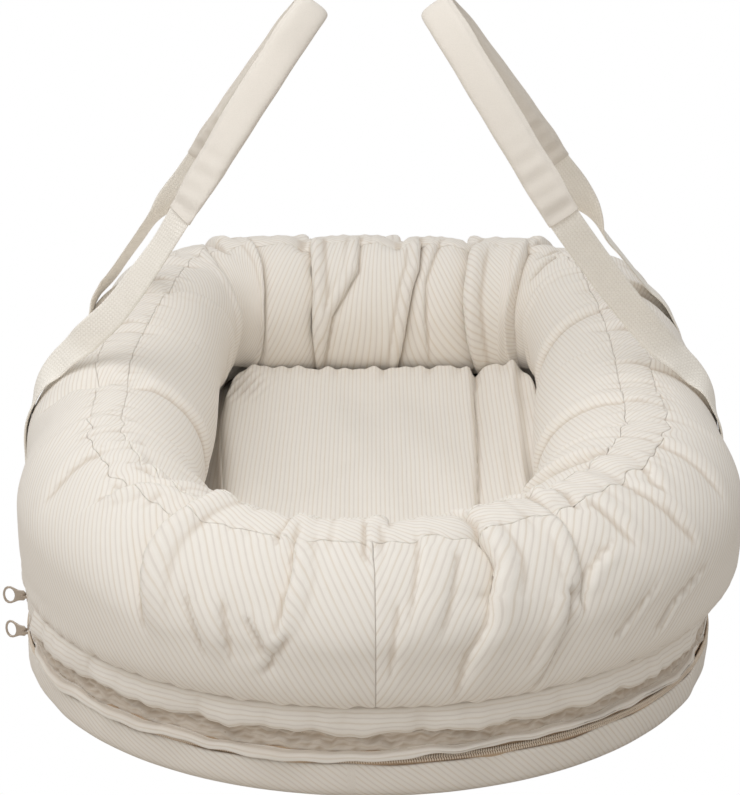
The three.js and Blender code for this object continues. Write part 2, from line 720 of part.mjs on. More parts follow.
// Pull: a flat stamping with an eye round the bridge, a flared neck and an oval ring,
// drawn from its bar at the origin and pointing to -Y
function pullGeometry() {
  const eyeHalf = pullEyeWidth / 2 + pullEyeRim;
  const eyeEnd = pullBar / 2 + pullEyeLength;
  const neckEnd = eyeEnd + pullEyeRim + pullNeckLength;
  const ringCentre = neckEnd + pullRingLength / 2 - pullRingRim / 2;
  const outline = new THREE.Shape();
  outline.moveTo(-eyeHalf, -pullBar / 2);
  outline.lineTo(eyeHalf, -pullBar / 2);
  outline.lineTo(eyeHalf, eyeEnd);
  outline.lineTo(pullNeckWidth / 2, eyeEnd + pullEyeRim);
  outline.lineTo(pullNeckWidth / 2, neckEnd);
  const ringSteps = 14;
  const openTurn = Math.asin(pullNeckWidth / pullRingWidth * 0.98);
  steps(openTurn, 2 * Math.PI - openTurn, ringSteps).forEach((turn) => {
    outline.lineTo(Math.sin(turn) * pullRingWidth / 2,
      ringCentre - Math.cos(turn) * pullRingLength / 2);
  });
  outline.lineTo(-pullNeckWidth / 2, neckEnd);
  outline.lineTo(-pullNeckWidth / 2, eyeEnd + pullEyeRim);
  outline.lineTo(-eyeHalf, eyeEnd);
  const eye = new THREE.Path();
  eye.moveTo(-pullEyeWidth / 2, pullBar / 2);
  eye.lineTo(-pullEyeWidth / 2, eyeEnd);
  eye.lineTo(pullEyeWidth / 2, eyeEnd);
  eye.lineTo(pullEyeWidth / 2, pullBar / 2);
  const hole = new THREE.Path();
  steps(0, 2 * Math.PI, ringSteps).slice(0, -1).forEach((turn, i) => {
    const point = [
      -Math.sin(turn) * (pullRingWidth / 2 - pullRingRim),
      ringCentre - Math.cos(turn) * (pullRingLength / 2 - pullRingRim),
    ];
    if (i) hole.lineTo(...point);
    else hole.moveTo(...point);
  });
  outline.holes.push(eye, hole);
  const plate = new THREE.ExtrudeGeometry(outline, { depth: pullThickness, bevelEnabled: false });
  plate.translate(0, 0, -pullThickness / 2);
  plate.rotateX(Math.PI);
  plate.rotateY(Math.PI / 2);
  return fromSolid(toSolid(plate));
}

// A slider sits on the foot arc at an angle past the left side, its pull turned on the bar
function zipSlider(word, height, angle, pullTurn) {
  const carrier = new THREE.Group();
  carrier.position.set(0, footCentreY, height);
  carrier.rotation.z = angle - Math.PI / 2;
  const radius = footRadius + tapeOffset;
  const slider = addMesh(`${word}_slider`, sliderGeometry(), colours.metal, 0.45, 0.9, carrier);
  slider.position.set(0, -radius, 0);
  const pull = addMesh(`${word}_pull`, pullGeometry(), colours.metal, 0.45, 0.9, carrier);
  pull.position.set(0, -radius - pullBarOut, 0);
  pull.rotation.z = -pullTurn;
  model.add(carrier);
}
zipSlider('lower_zip', lowerZipHeight, lowerSliderAngle, lowerPullTurn);
zipSlider('upper_zip', upperZipHeight, upperSliderAngle, upperPullTurn);

export default model;
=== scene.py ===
import math
import bmesh
import bpy
import numpy as np
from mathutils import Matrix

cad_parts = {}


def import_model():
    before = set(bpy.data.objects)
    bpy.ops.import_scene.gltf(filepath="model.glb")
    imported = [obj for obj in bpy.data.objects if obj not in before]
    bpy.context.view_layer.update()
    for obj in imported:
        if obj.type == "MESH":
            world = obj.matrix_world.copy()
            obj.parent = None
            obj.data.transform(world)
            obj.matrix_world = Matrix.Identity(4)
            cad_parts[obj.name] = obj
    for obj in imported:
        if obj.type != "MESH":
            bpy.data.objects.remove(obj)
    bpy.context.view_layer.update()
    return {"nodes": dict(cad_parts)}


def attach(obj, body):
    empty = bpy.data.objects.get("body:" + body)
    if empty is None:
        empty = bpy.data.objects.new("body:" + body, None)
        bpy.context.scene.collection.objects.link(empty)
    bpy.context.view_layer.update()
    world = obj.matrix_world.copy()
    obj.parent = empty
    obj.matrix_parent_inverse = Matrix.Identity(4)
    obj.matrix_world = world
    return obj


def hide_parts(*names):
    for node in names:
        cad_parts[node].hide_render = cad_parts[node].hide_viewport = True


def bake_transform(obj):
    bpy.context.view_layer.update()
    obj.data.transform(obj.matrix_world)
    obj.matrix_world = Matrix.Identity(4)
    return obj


# Infant lounger: stuffed oval bumper, mattress, zipped base and two webbing handles.
# Everything is in metres, +Z up, foot end at -Y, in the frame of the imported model.

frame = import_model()
print("frame loaded")

camera = {"elevation": 19, "distance": 1.66, "focal": 2300, "target": (0, 0, 0.1), "turn": -0.03,
          "centre": (373.9, 442.3), "picture": (740, 795), "sensor": 36, "clip": (0.05, 50)}


def makeCamera(c):
    wide, high = c["picture"]
    longSide = max(wide, high)
    data = bpy.data.cameras.new("loungerCamera")
    data.sensor_width = c["sensor"]
    data.lens = c["focal"] / longSide * c["sensor"]
    data.shift_x = (wide / 2 - c["centre"][0]) / longSide
    data.shift_y = (c["centre"][1] - high / 2) / longSide
    data.clip_start, data.clip_end = c["clip"]
    cam = bpy.data.objects.new("loungerCamera", data)
    bpy.context.scene.collection.objects.link(cam)
    e, t = math.radians(c["elevation"]), c["turn"]
    back = (-math.cos(e) * math.sin(t), -math.cos(e) * math.cos(t), math.sin(e))
    cam.location = [c["target"][k] + c["distance"] * back[k] for k in range(3)]
    cam.rotation_euler = (math.radians(90 - c["elevation"]), 0, -t)
    bpy.context.scene.camera = cam


makeCamera(camera)
bpy.context.scene.view_settings.view_transform = "Standard"


class Wire:
    # A socket that takes part in sums: each operator adds a Math node
    def __init__(self, tree, socket):
        self.tree, self.socket = tree, socket

    def math(self, operation, *others):
        node = self.tree.nodes.new("ShaderNodeMath")
        node.operation = operation
        for k, value in enumerate((self, *others)):
            if isinstance(value, Wire):
                self.tree.links.new(value.socket, node.inputs[k])
            else:
                node.inputs[k].default_value = value
        return Wire(self.tree, node.outputs[0])

    def __add__(self, o): return self.math("ADD", o)
    def __sub__(self, o): return self.math("SUBTRACT", o)
    def __rsub__(self, o): return (self * -1) + o
    def __mul__(self, o): return self.math("MULTIPLY", o)
    def __truediv__(self, o): return self.math("DIVIDE", o)

    def wave(self, pitch, phase=0.0):
        return (self * (2 * math.pi / pitch) + phase).math("SINE") * 0.5 + 0.5

    def limited(self):
        self.socket.node.use_clamp = True
        return self

    def line(self, pitch, width, soft):
        # 1 on lines of the given width every pitch, 0 between, with soft edges
        far = (self / pitch).math("FRACT").math("SUBTRACT", 0.5).math("ABSOLUTE") * pitch
        return ((far * -1 + (width / 2 + soft)) / soft).limited()


class Finish:
    # A material and the one method that adds its nodes
    def __init__(self, name):
        self.material = bpy.data.materials.new(name)
        self.material.use_nodes = True
        self.tree = self.material.node_tree
        self.shader = self.tree.nodes["Principled BSDF"]

    def node(self, kind, settings=None, **sockets):
        n = self.tree.nodes.new(kind)
        for key, value in (settings or {}).items():
            setattr(n, key, value)
        for key, value in sockets.items():
            name = int(key[1:]) if key[1:].isdigit() else key.replace("_", " ")
            self.feed(n.inputs[name], value)
        return n

    def feed(self, socket, value):
        if isinstance(value, Wire):
            self.tree.links.new(value.socket, socket)
        else:
            socket.default_value = value

    def out(self, node, which=0):
        return Wire(self.tree, node.outputs[which])

    def layer(self, mask, under, over):
        # Colour mixed from under to over by the mask
        n = self.node("ShaderNodeMix", {"data_type": "RGBA"}, s0=mask, s6=under, s7=over)
        return self.out(n, 2)

    def coords(self, uvName=None):
        if uvName:
            return self.out(self.node("ShaderNodeUVMap", {"uv_map": uvName}))
        return self.out(self.node("ShaderNodeTexCoord"), 3)

    def split(self, place):
        parts = self.node("ShaderNodeSeparateXYZ", s0=place)
        return self.out(parts, 0), self.out(parts, 1)

    def noise(self, place, scale, detail=2.0, rough=0.5, stretch=None):
        if stretch:
            place = self.out(self.node("ShaderNodeMapping", s0=place, s3=stretch))
        n = self.node("ShaderNodeTexNoise", Vector=place, Scale=scale, Detail=detail,
                      Roughness=rough)
        return self.out(n)

    def bump(self, height, strength, distance):
        n = self.node("ShaderNodeBump", Strength=strength, Distance=distance, Height=height)
        self.tree.links.new(n.outputs[0], self.shader.inputs["Normal"])

    def finish(self, colour, rough, **fixed):
        self.feed(self.shader.inputs["Base Color"], colour)
        self.feed(self.shader.inputs["Roughness"], rough)
        for key, value in fixed.items():
            self.shader.inputs[key.replace("_", " ")].default_value = value
        return self.material


def srgb(levels):
    shares = [v / 255 for v in levels]
    return (*[v / 12.92 if v <= 0.04045 else ((v + 0.055) / 1.055) ** 2.4 for v in shares], 1)


def dimmed(tone, share):
    return (*[c * share for c in tone[:3]], 1)


# The inside tone is painted shade: the warm dark colour mixed into the creases and hollows of the
# cloth
tones = {"ground": (240, 234, 225), "stripe": (214, 200, 181), "stripeCool": (211, 201, 191),
         "pale": (246, 242, 235), "inside": (182, 160, 134), "grip": (230, 223, 213),
         # The dark webbing tone is painted shade in the weave's valleys, and the tone of its random
         # patches
         "web": (250, 245, 236), "webShadeAndMottle": (214, 204, 187), "tape": (204, 178, 150),
         "coil": (238, 224, 206), "metal": (198, 186, 173), "board": (205, 196, 180),
         "fibre": (240, 238, 232)}
tones = {name: srgb(levels) for name, levels in tones.items()}

# Noises are given as scale, detail, roughness and stretch
# One weight sets how strongly painted shade darkens the cloth's hollows
stripeWeave = {"pitch": 0.00315, "width": 0.00042, "soft": 0.00036, "side": 0.00155,
               "thread": 0.0006, "wander": 0.0012, "wanderNoise": (14, 2), "dark": 0.24,
               "patchy": 0.4, "patchNoise": (60, 2), "pale": 0.35, "paleWidth": 0.9, "slub": 0.22,
               "slubFrom": 0.45, "slubNoise": (900, 2, 0.6, (1, 0.16, 1)), "hollowShade": 0.38,
               "weave": 0.10, "rib": 0.05, "ribPhase": 1.2, "crinkle": 0.5,
               "crinkleNoise": (420, 3, 0.6, (1, 0.3, 1)), "bump": (0.28, 0.0006), "rough": 0.88,
               "sheen": {"Sheen_Weight": 0.12, "Sheen_Roughness": 0.5, "Specular_IOR_Level": 0.25}}


def stripedCotton(name, w, inside=0.0):
    # Fine two-tone stripes across u, over a plain weave that crinkles along them. Painted shade
    # darkens the marked hollows, and the whole cloth by the share inside
    m = Finish(name)
    place = m.coords("stripe")
    u, v = m.split(place)
    u = u + (m.noise(place, *w["wanderNoise"]) - 0.5) * w["wander"]
    dark = u.line(w["pitch"], w["width"], w["soft"])
    pale = (u + w["side"]).line(w["pitch"], w["width"] * w["paleWidth"], w["soft"])
    fade = m.noise(place, *w["patchNoise"]) * w["patchy"] + w["dark"]
    other = (u / (2 * w["pitch"])).math("FRACT").math("GREATER_THAN", 0.5)
    stripe = m.layer(other, tones["stripe"], tones["stripeCool"])
    colour = m.layer(dark * fade, tones["ground"], stripe)
    colour = m.layer(pale * w["pale"], colour, tones["pale"])
    slub = (m.noise(place, *w["slubNoise"]) - w["slubFrom"]).limited() * w["slub"]
    colour = m.layer(slub, colour, tones["stripe"])
    # Painted shade: the hollows marked on the mesh, plus the given share over the whole surface,
    # mix the colour towards the warm dark inside tone
    hollowShade = m.out(m.node("ShaderNodeAttribute", {"attribute_name": "fold"}), 2)
    colour = m.layer((hollowShade * w["hollowShade"] + inside).limited(), colour, tones["inside"])
    weave = u.wave(w["thread"]) * v.wave(w["thread"]) * w["weave"]
    rib = u.wave(w["pitch"], w["ribPhase"]) * w["rib"]
    m.bump(weave + rib + m.noise(place, *w["crinkleNoise"]) * w["crinkle"], *w["bump"])
    return m.finish(colour, w["rough"], **w["sheen"])


# The weave's valleys below a height get painted shade, with a given strength
webWeave = {"rib": 0.0027, "cross": 0.0023, "slant": 0.25, "float": 0.6, "valley": 0.4,
            "dark": 0.42, "depth": 0.9, "patchy": 0.15, "patchFrom": 0.4, "patchNoise": (60, 2),
            "bump": (0.4, 0.0006), "rough": 0.85,
            "sheen": {"Sheen_Weight": 0.1, "Sheen_Roughness": 0.5, "Specular_IOR_Level": 0.25}}


def webbingCotton(w):
    # Coarse webbing: short slanted floats in rows, u across and v along, with painted shade in the
    # low valleys between them
    m = Finish("webbingCotton")
    place = m.coords("web")
    u, v = m.split(place)
    odd = ((u / w["cross"]).math("FLOOR") * 0.5).math("FRACT") * 2
    floatUp = (v + odd * (w["rib"] / 2) + u * w["slant"]).wave(w["rib"])
    height = floatUp * w["float"] + u.wave(w["cross"], -math.pi / 2) * w["valley"]
    # Painted shade: the weave's low valleys between floats are mixed towards the dark tone
    colour = m.layer((w["dark"] - height).limited() * w["depth"], tones["web"], tones["webShadeAndMottle"])
    patch = (m.noise(place, *w["patchNoise"]) - w["patchFrom"]).limited() * w["patchy"]
    colour = m.layer(patch, colour, tones["webShadeAndMottle"])
    m.bump(height, *w["bump"])
    return m.finish(colour, w["rough"], **w["sheen"])


tapeWeave = {"twill": 0.0011, "slant": 0.7, "dark": 0.35, "share": 0.7, "heights": (0.7, 0.3),
             "noise": (900, 2), "bump": (0.4, 0.0003), "rough": 0.8, "shine": 0.3}


def tapeCloth(w):
    # Zip tape: a fine herringbone in tan
    m = Finish("zipTape")
    place = m.coords("stripe")
    u, v = m.split(place)
    twill = (u + v * w["slant"]).wave(w["twill"])
    colour = m.layer(twill * w["dark"], tones["tape"], dimmed(tones["tape"], w["share"]))
    m.bump(twill * w["heights"][0] + m.noise(place, *w["noise"]) * w["heights"][1], *w["bump"])
    return m.finish(colour, w["rough"], Specular_IOR_Level=w["shine"])


# Plainer finishes: noises, then for each of the first ones its floor, its weight and the share
# of the tone that it brings; how much each noise lifts the surface; the bump
mottles = {
    "grip": {"noises": ((1400, 2, 0.6), (45, 3)), "shades": ((0.42, 0.5, 0.72), (0.4, 0.25, 0.86)),
             "heights": (0.7, 0.3), "bump": (0.3, 0.0005), "rough": 0.92,
             "fixed": {"Sheen_Weight": 0.15, "Sheen_Roughness": 0.5, "Specular_IOR_Level": 0.2}},
    "metal": {"noises": ((160, 2), (700, 3, 0.6)), "shades": ((0.35, 0.5, 1.25),),
              "heights": (0, 1), "bump": (0.08, 0.0002), "rough": 0.33, "spread": 0.15,
              "fixed": {"Metallic": 0.65}},
    "coil": {"noises": ((220, 2),), "shades": ((0, 0.4, 0.8),), "heights": (1,),
             "bump": (0.1, 0.0002), "rough": 0.4},
    "board": {"noises": ((30, 3),), "shades": ((0, 0.3, 0.85),), "heights": (1,),
              "bump": (0.2, 0.001), "rough": 0.8},
    "fibre": {"noises": ((90, 3),), "shades": ((0, 0.3, 0.85),), "heights": (1,),
              "bump": (0.2, 0.001), "rough": 0.8}}


def mottled(name, tone, w):
    m = Finish(name)
    place = m.coords()
    noises = [m.noise(place, *settings) for settings in w["noises"]]
    colour = tone
    for noise, (floor, weight, share) in zip(noises, w["shades"]):
        colour = m.layer((noise - floor).limited() * weight, colour, dimmed(tone, share))
    height = noises[0] * w["heights"][0]
    for noise, share in zip(noises[1:], w["heights"][1:]):
        height = height + noise * share
    m.bump(height, *w["bump"])
    rough = noises[-1] * w["spread"] + w["rough"] if "spread" in w else w["rough"]
    return m.finish(colour, rough, **w.get("fixed", {}))


# The inner finish is the striped cloth darkened throughout by painted shade, for the gusset between
# the zips
finishes = {"stripe": stripedCotton("stripedCotton", stripeWeave),
            "inner": stripedCotton("stripedCottonPaintedShade", stripeWeave, 0.4),
            "web": webbingCotton(webWeave), "tape": tapeCloth(tapeWeave)}
for key, name in (("grip", "plainCotton"), ("metal", "zipMetal"), ("coil", "zipCoil"),
                  ("board", "baseBoard"), ("fibre", "fibreFilling")):
    finishes[key] = mottled(name, tones[key], mottles[key])
print("finishes made")


def gridMesh(name, points, finish, body, uvs=None, uvName="stripe", closed=(False, False),
             levels=0):
    # A surface from an n by m grid of points. Closed joins the last row or column to the
    # first. The grid of uvs is one larger in a closed direction
    n, m = points.shape[:2]
    i = np.arange(n if closed[0] else n - 1)
    j = np.arange(m if closed[1] else m - 1)
    i, j = np.meshgrid(i, j, indexing="ij")
    steps = ((0, 0), (1, 0), (1, 1), (0, 1))
    quads = np.stack([((i + a) % n) * m + (j + b) % m for a, b in steps], -1).reshape(-1, 4)
    obj = rawMesh(name, points.reshape(-1, 3), quads, finish, body)
    if uvs is not None:
        places = np.stack([(i + a) * uvs.shape[1] + (j + b) for a, b in steps], -1).ravel()
        layer = obj.data.uv_layers.new(name=uvName)
        layer.data.foreach_set("uv", uvs.reshape(-1, 2)[places].astype(np.float32).ravel())
    if levels:
        soft = obj.modifiers.new("soften", "SUBSURF")
        soft.levels = soft.render_levels = levels
    return obj


def rawMesh(name, points, faces, finish, body):
    mesh = bpy.data.meshes.new(name)
    count, sides = faces.shape
    mesh.vertices.add(len(points))
    mesh.vertices.foreach_set("co", np.asarray(points, np.float32).ravel())
    mesh.loops.add(count * sides)
    mesh.loops.foreach_set("vertex_index", faces.astype(np.int32).ravel())
    mesh.polygons.add(count)
    mesh.polygons.foreach_set("loop_start", np.arange(0, count * sides, sides, dtype=np.int32))
    mesh.polygons.foreach_set("use_smooth", np.full(count, True))
    mesh.update(calc_edges=True)
    mesh.validate()
    mesh.materials.append(finish)
    obj = bpy.data.objects.new(name, mesh)
    bpy.context.scene.collection.objects.link(obj)
    if body:
        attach(obj, body)
    return obj


def closeUp(obj):
    # Fills the open rings of a surface, if any, and turns every face outwards
    work = bmesh.new()
    work.from_mesh(obj.data)
    edges = [e for e in work.edges if e.is_boundary]
    if edges:
        bmesh.ops.holes_fill(work, edges=edges)
    bmesh.ops.recalc_face_normals(work, faces=work.faces)
    work.to_mesh(obj.data)
    work.free()


def coordsOf(obj):
    flat = np.zeros(len(obj.data.vertices) * 3, np.float32)
    obj.data.vertices.foreach_get("co", flat)
    return flat.reshape(-1, 3)


goldenAngle, firstPhase, evenShare, fineSteps = 2.399, 1.7, 0.75, 400


def ripple(x, seed, periods):
    # Sum of sines with fixed phases, about -1 to 1
    total = sum(np.sin(x * 2 * math.pi / p + seed * (k + firstPhase) * goldenAngle)
                for k, p in enumerate(periods))
    return total / math.sqrt(len(periods) * evenShare)


def hill(x, width):
    return np.exp(-((x / width) ** 2))


def fading(x, width):
    return np.exp(-np.abs(x) / width)


def smooth01(x):
    x = np.clip(x, 0, 1)
    return x * x * (3 - 2 * x)


def ahead(x, start, reach):
    return smooth01((x - start) / reach)


def before(x, end, reach):
    return smooth01((end - x) / reach)


# The oval plan: four tangent arcs from the foot to the head. The last radius follows from the
# others, because the plan ends on its centre line
planShape = {"radii": (0.175, 2.1, 0.074), "turns": (0, 86, 96.4, 174, 180)}
turns = np.radians(planShape["turns"])
radii = list(planShape["radii"])
radii.append(sum(r * (math.sin(turns[k + 1]) - math.sin(turns[k]))
                 for k, r in enumerate(radii)) / math.sin(turns[3]))
halfLength = sum(r * (math.cos(turns[k]) - math.cos(turns[k + 1])) for k, r in enumerate(radii)) / 2
arcTable, spot, halfRound = [], (0.0, -halfLength), 0.0
for k, r in enumerate(radii):
    cx, cy = spot[0] - r * math.sin(turns[k]), spot[1] + r * math.cos(turns[k])
    arcTable.append((r, cx, cy, halfRound, turns[k]))
    spot = (cx + r * math.sin(turns[k + 1]), cy - r * math.cos(turns[k + 1]))
    halfRound += r * (turns[k + 1] - turns[k])
arcTable = np.array(arcTable)


def arcAt(s):
    along = np.minimum(np.abs(s), halfRound)
    return along, arcTable[np.clip(np.searchsorted(arcTable[:, 3], along, side="right") - 1, 0, 3)]


def planPoint(s, offset):
    # Point of the arcs at a distance s round from the foot, moved outwards
    along, arc = arcAt(s)
    heading = arc[..., 4] + (along - arc[..., 3]) / arc[..., 0]
    far = arc[..., 0] + offset
    side = np.where(s < 0, -1.0, 1.0)
    return side * (arc[..., 1] + far * np.sin(heading)), arc[..., 2] - far * np.cos(heading)


def planRadius(s):
    return arcAt(s)[1][..., 0]


def ringSteps(count):
    # Distances round the whole ring, from the foot to the right and back on the left
    return np.linspace(0, 2 * halfRound, count, endpoint=False)


def signed(s):
    # Distance from 0 to a full round as plus on the right and minus on the left
    return np.where(s > halfRound, s - 2 * halfRound, s)


def awayFrom(s, place):
    # Distance round from a place, the shorter way
    return np.mod(s - place + halfRound, 2 * halfRound) - halfRound


# Section of the bumper, and the run along it from the bottom
section = {"halfWidth": 0.065, "halfHeight": 0.0572, "centre": 0.1143, "upper": 1.9,
           "outerLow": 5.0, "innerLow": 2.6, "footFall": 0.030, "headRise": 0.007,
           "bottomSeam": 0.053, "crestOuter": 0.0154, "crestInner": -0.0098, "innerSeam": 0.080,
           "steps": 4001, "normalStep": 0.0012}
angles = np.linspace(-math.pi / 2, 1.5 * math.pi, section["steps"])
c, s = np.cos(angles), np.sin(angles)
power = 2 / np.where(s > 0, section["upper"],
                     np.where(c > 0, section["outerLow"], section["innerLow"]))
sectionX = section["halfWidth"] * np.sign(c) * np.abs(c) ** power
sectionZ = section["centre"] + section["halfHeight"] * np.sign(s) * np.abs(s) ** power
runTable = np.concatenate([[0], np.cumsum(np.hypot(np.diff(sectionX), np.diff(sectionZ)))])
sectionRound = runTable[-1]
upperHalf = sectionZ > section["centre"]
bottomRun = runTable[np.argmax(sectionX > section["bottomSeam"])]
crestOuterRun, crestInnerRun = (runTable[np.argmax(upperHalf & (sectionX < section[key]))]
                                for key in ("crestOuter", "crestInner"))
innerRun = runTable[np.argmax((np.arange(section["steps"]) > section["steps"] // 2)
                              & (sectionZ < section["innerSeam"]))]


def sectionAt(run):
    run = np.mod(run, sectionRound)
    step = section["normalStep"]
    after, behind = np.mod(run + step, sectionRound), np.mod(run - step, sectionRound)
    dx, dz = (np.interp(after, runTable, table) - np.interp(behind, runTable, table)
              for table in (sectionX, sectionZ))
    far = np.hypot(dx, dz)
    x, z = (np.interp(run, runTable, table) for table in (sectionX, sectionZ))
    return x, z, dz / far, -dx / far


def lifted(y, z):
    # The bumper is a little higher at the head and lower at the foot
    share = y / (halfLength + section["halfWidth"])
    bottom = section["centre"] - section["halfHeight"]
    lift = np.where(share < 0, -section["footFall"] * np.abs(share) ** 3,
                    section["headRise"] * share * share)
    return z + lift * (z - bottom) / (2 * section["halfHeight"])


# Creases of the cover. Each has its line as distance round and run in turn, then how deep,
# how wide and how much cloth it hides, in millimetres, and which side is the steep one
# (1 the right, -1 the left, 0 neither)
creases = [
    # left front: the long fold under the left pillow, and the one across the crest above it
    ((-90, 222, -100, 195, -104, 172, -103, 155, -99, 132, -96, 112, -94, 96), 13, 9, 16, 1),
    ((-152, 178, -148, 186, -142, 196, -134, 204, -112, 214, -104, 224), 9, 8, 6, 1),
    ((-161, 206, -150, 211, -136, 219, -124, 232), 4, 6, 0, 1),
    # front
    ((-41, 203, -42, 190, -41, 180), 4, 3.5, 2, 1),
    ((-32, 190, -30, 173, -29, 161, -30, 149, -31, 136, -34, 118), 7, 6, 8, 1),
    ((5, 205, 6, 193, 5, 183, 8, 168), 4, 4.5, 0, 1),
    ((71, 193, 71, 181, 71, 163, 68, 152, 64, 140, 58, 124), 12, 7, 14, 1),
    ((66, 146, 58, 124, 50, 104, 43, 66, 40, 56), 5, 12, 4, 1),
    ((113, 197, 113, 182, 110, 164, 106, 140, 103, 116, 101, 104), 7, 7, 10, -1),
    ((126, 152, 114, 144, 106, 132, 102, 116), 4, 7, 0, 1),
    ((98, 134, 92, 110, 86, 90, 80, 70, 76, 56), 6, 7, 4, -1),
    ((134, 200, 131, 192, 130, 180), 5, 4, 2, 0),
    ((140, 186, 141, 168, 141, 154, 142, 140), 3.5, 7, 4, 1),
    ((170, 180, 173, 150, 175, 134, 172, 120), 3.5, 8, 4, 1),
    ((193, 190, 184, 176, 178, 162), 3, 8, 2, 1),
    ((144, 84, 154, 100, 170, 108, 190, 114), 2.5, 5, 0, 1),
    ((120, 92, 135, 111, 150, 124), 2, 5, 0, 1),
    ((-61, 138, -57, 116, -53, 90), 2.6, 6, 0, -1),
    ((-46, 130, -39, 114, -33, 92), 2.4, 6, 0, 1),
    ((-30, 120, -35, 104, -42, 84), 2.6, 5, 0, -1),
    ((-76, 136, -69, 116, -63, 88), 2.0, 7, 0, 1),
    ((33, 184, 27, 150, 20, 112), 2.6, 9, 4, 1),
    ((50, 176, 42, 146, 32, 108), 2.2, 8, 0, -1),
    ((20, 146, 17, 112, 15, 76), 2.0, 6, 0, 1),
    # outer cover of the sides and the head end
    ((-205, 188, -200, 160, -196, 130), 3, 14, 4, -1),
    ((-262, 192, -258, 160, -256, 128), 3, 16, 4, 1),
    ((-343, 200, -343, 170, -343, 130), 8, 15, 6, 0),
    ((225, 190, 222, 160, 216, 126), 3, 14, 4, 1),
    ((285, 190, 282, 160, 280, 124), 3.5, 14, 4, -1),
    ((380, 192, 380, 150, 378, 110), 3, 16, 2, 1),
    ((475, 192, 475, 160, 468, 110), 6, 12, 8, 1),
    ((-475, 192, -474, 160, -468, 110), 6, 12, 8, -1),
    ((545, 192, 548, 165, 552, 130), 4, 10, 4, -1),
    ((-540, 192, -544, 165, -548, 130), 4, 10, 4, 1),
    ((596, 192, 598, 160, 596, 110), 8, 10, 10, 1),
    ((-592, 192, -590, 160, -592, 110), 8, 10, 10, -1),
    ((664, 192, 666, 150, 670, 100), 9, 9, 12, -1),
    ((-655, 192, -658, 150, -654, 100), 9, 9, 12, 1),
    ((720, 192, 721, 155, 716, 104), 9, 8, 10, 1),
    ((-710, 192, -713, 155, -708, 104), 9, 8, 10, -1),
    ((776, 192, 777, 155, 780, 104), 7, 9, 8, -1),
    ((-782, 192, -780, 155, -776, 104), 7, 9, 8, 1),
    ((832, 192, 834, 160, 830, 116), 5, 9, 6, 1),
    # nest side, head end
    ((-731, 212, -737, 247, -735, 272, -720, 292, -694, 372), 9, 8, 12, 1),
    ((-785, 212, -786, 243, -787, 271, -786, 292, -787, 372), 11, 6, 14, -1),
    ((-823, 212, -822, 250, -811, 272, -799, 292, -786, 366), 6, 8, 8, 1),
    ((817, 212, 817, 247, 822, 267, 827, 298, 838, 372), 10, 6, 12, 1),
    ((768, 214, 770, 242, 772, 275, 769, 300, 758, 372), 14, 8, 18, -1),
    ((800, 212, 806, 242, 810, 262, 809, 291, 803, 350), 4, 8, 6, 1),
    ((724, 212, 716, 242, 704, 268, 694, 292, 684, 372), 8, 10, 12, 1),
    ((640, 212, 636, 242, 630, 268, 628, 292, 625, 372), 7, 12, 10, -1),
    ((690, 214, 684, 236, 676, 262), 4, 9, 4, 1),
    ((-684, 212, -664, 237, -644, 254, -634, 272, -618, 372), 9, 11, 14, 1),
    ((-660, 240, -640, 262, -622, 276), 4, 8, 2, -1),
    ((-560, 214, -575, 242, -590, 268, -596, 292, -596, 372), 7, 13, 8, 1),
    # nest side, sides and foot end
    ((-470, 214, -474, 240, -478, 270), 3, 16, 4, 1),
    ((-330, 214, -334, 242, -338, 272, -342, 335), 4.5, 16, 4, -1),
    ((-250, 224, -244, 244, -240, 280), 4, 12, 4, 1),
    ((-205, 221, -198, 238, -190, 264, -186, 310), 6, 10, 8, 1),
    ((-166, 214, -150, 232, -142, 256, -140, 310), 8, 8, 10, 1),
    ((300, 214, 306, 242, 312, 272, 318, 335), 4, 16, 4, 1),
    ((420, 214, 424, 242, 430, 272), 3.5, 14, 4, -1),
    ((520, 214, 512, 242, 506, 272, 504, 330), 5, 12, 6, 1),
    ((246, 222, 240, 244, 236, 280), 5, 9, 6, -1),
    ((200, 222, 192, 244, 188, 280, 186, 320), 6, 9, 8, 1),
    ((-96, 212, -90, 236, -86, 292), 7, 9, 10, 1),
    ((-40, 212, -40, 262, -40, 320), 6, 9, 10, 1),
    ((18, 212, 20, 262, 20, 320), 6, 9, 10, -1),
    ((70, 212, 66, 262, 66, 320), 7, 9, 10, 1),
    ((128, 212, 120, 262, 120, 320), 7, 9, 10, -1),
]
bandDips = [(-343, 8, 15), (-22, 2, 8), (70, 5, 7), (112, 3, 8), (172, 3, 8), (-452, 3, 9),
            (330, 2, 14), (470, 3, 10), (-560, 4, 9), (-640, 5, 9), (-706, 5, 8), (-776, 6, 7),
            (836, 6, 8), (770, 6, 8), (700, 5, 9), (640, 5, 9), (575, 4, 10)]
seamAt = 0.009
relief = {"seamDip": 0.0006, "seamEdge": 0.0007, "seamWide": 0.0005, "seamReach": 0.010,
          "pucker": 0.0005, "puckerReach": 0.012, "outerWaves": (1.3, (0.023, 0.0141, 0.0093)),
          "innerWaves": (4.1, (0.027, 0.0163, 0.0101)), "hem": 0.0009, "hemReach": 0.009,
          "hemWaves": (7.9, (0.0151, 0.0097, 0.0223)), "hemLine": 0.0012, "bandFade": 0.02,
          "centreDip": 0.0009, "centreEdge": 0.0008, "centreWide": 0.0006, "centreReach": 0.008,
          "centreEnd": (0.004, 0.008), "footDrop": 0.0075, "footFrom": (0.215, 0.06),
          "footBelow": 0.012, "footEnd": (0.085, 0.05)}
# Shape of a crease, in widths: its two flanks, its lip, how far it slides over, and the ends
creaseForm = {"soft": 1.15, "sharp": 0.20, "even": 0.75, "lipAt": 0.62, "lipWide": 0.5,
              "lip": 0.42, "evenLip": 0.2, "slide": 0.45, "slideAt": 0.35, "slideWide": 0.42,
              "start": 0.06, "startShare": 0.45, "end": 0.45, "hide": 0.26, "hideEdge": 0.0022,
              "hideReach": 0.03, "reach": 7, "margin": 0.05}


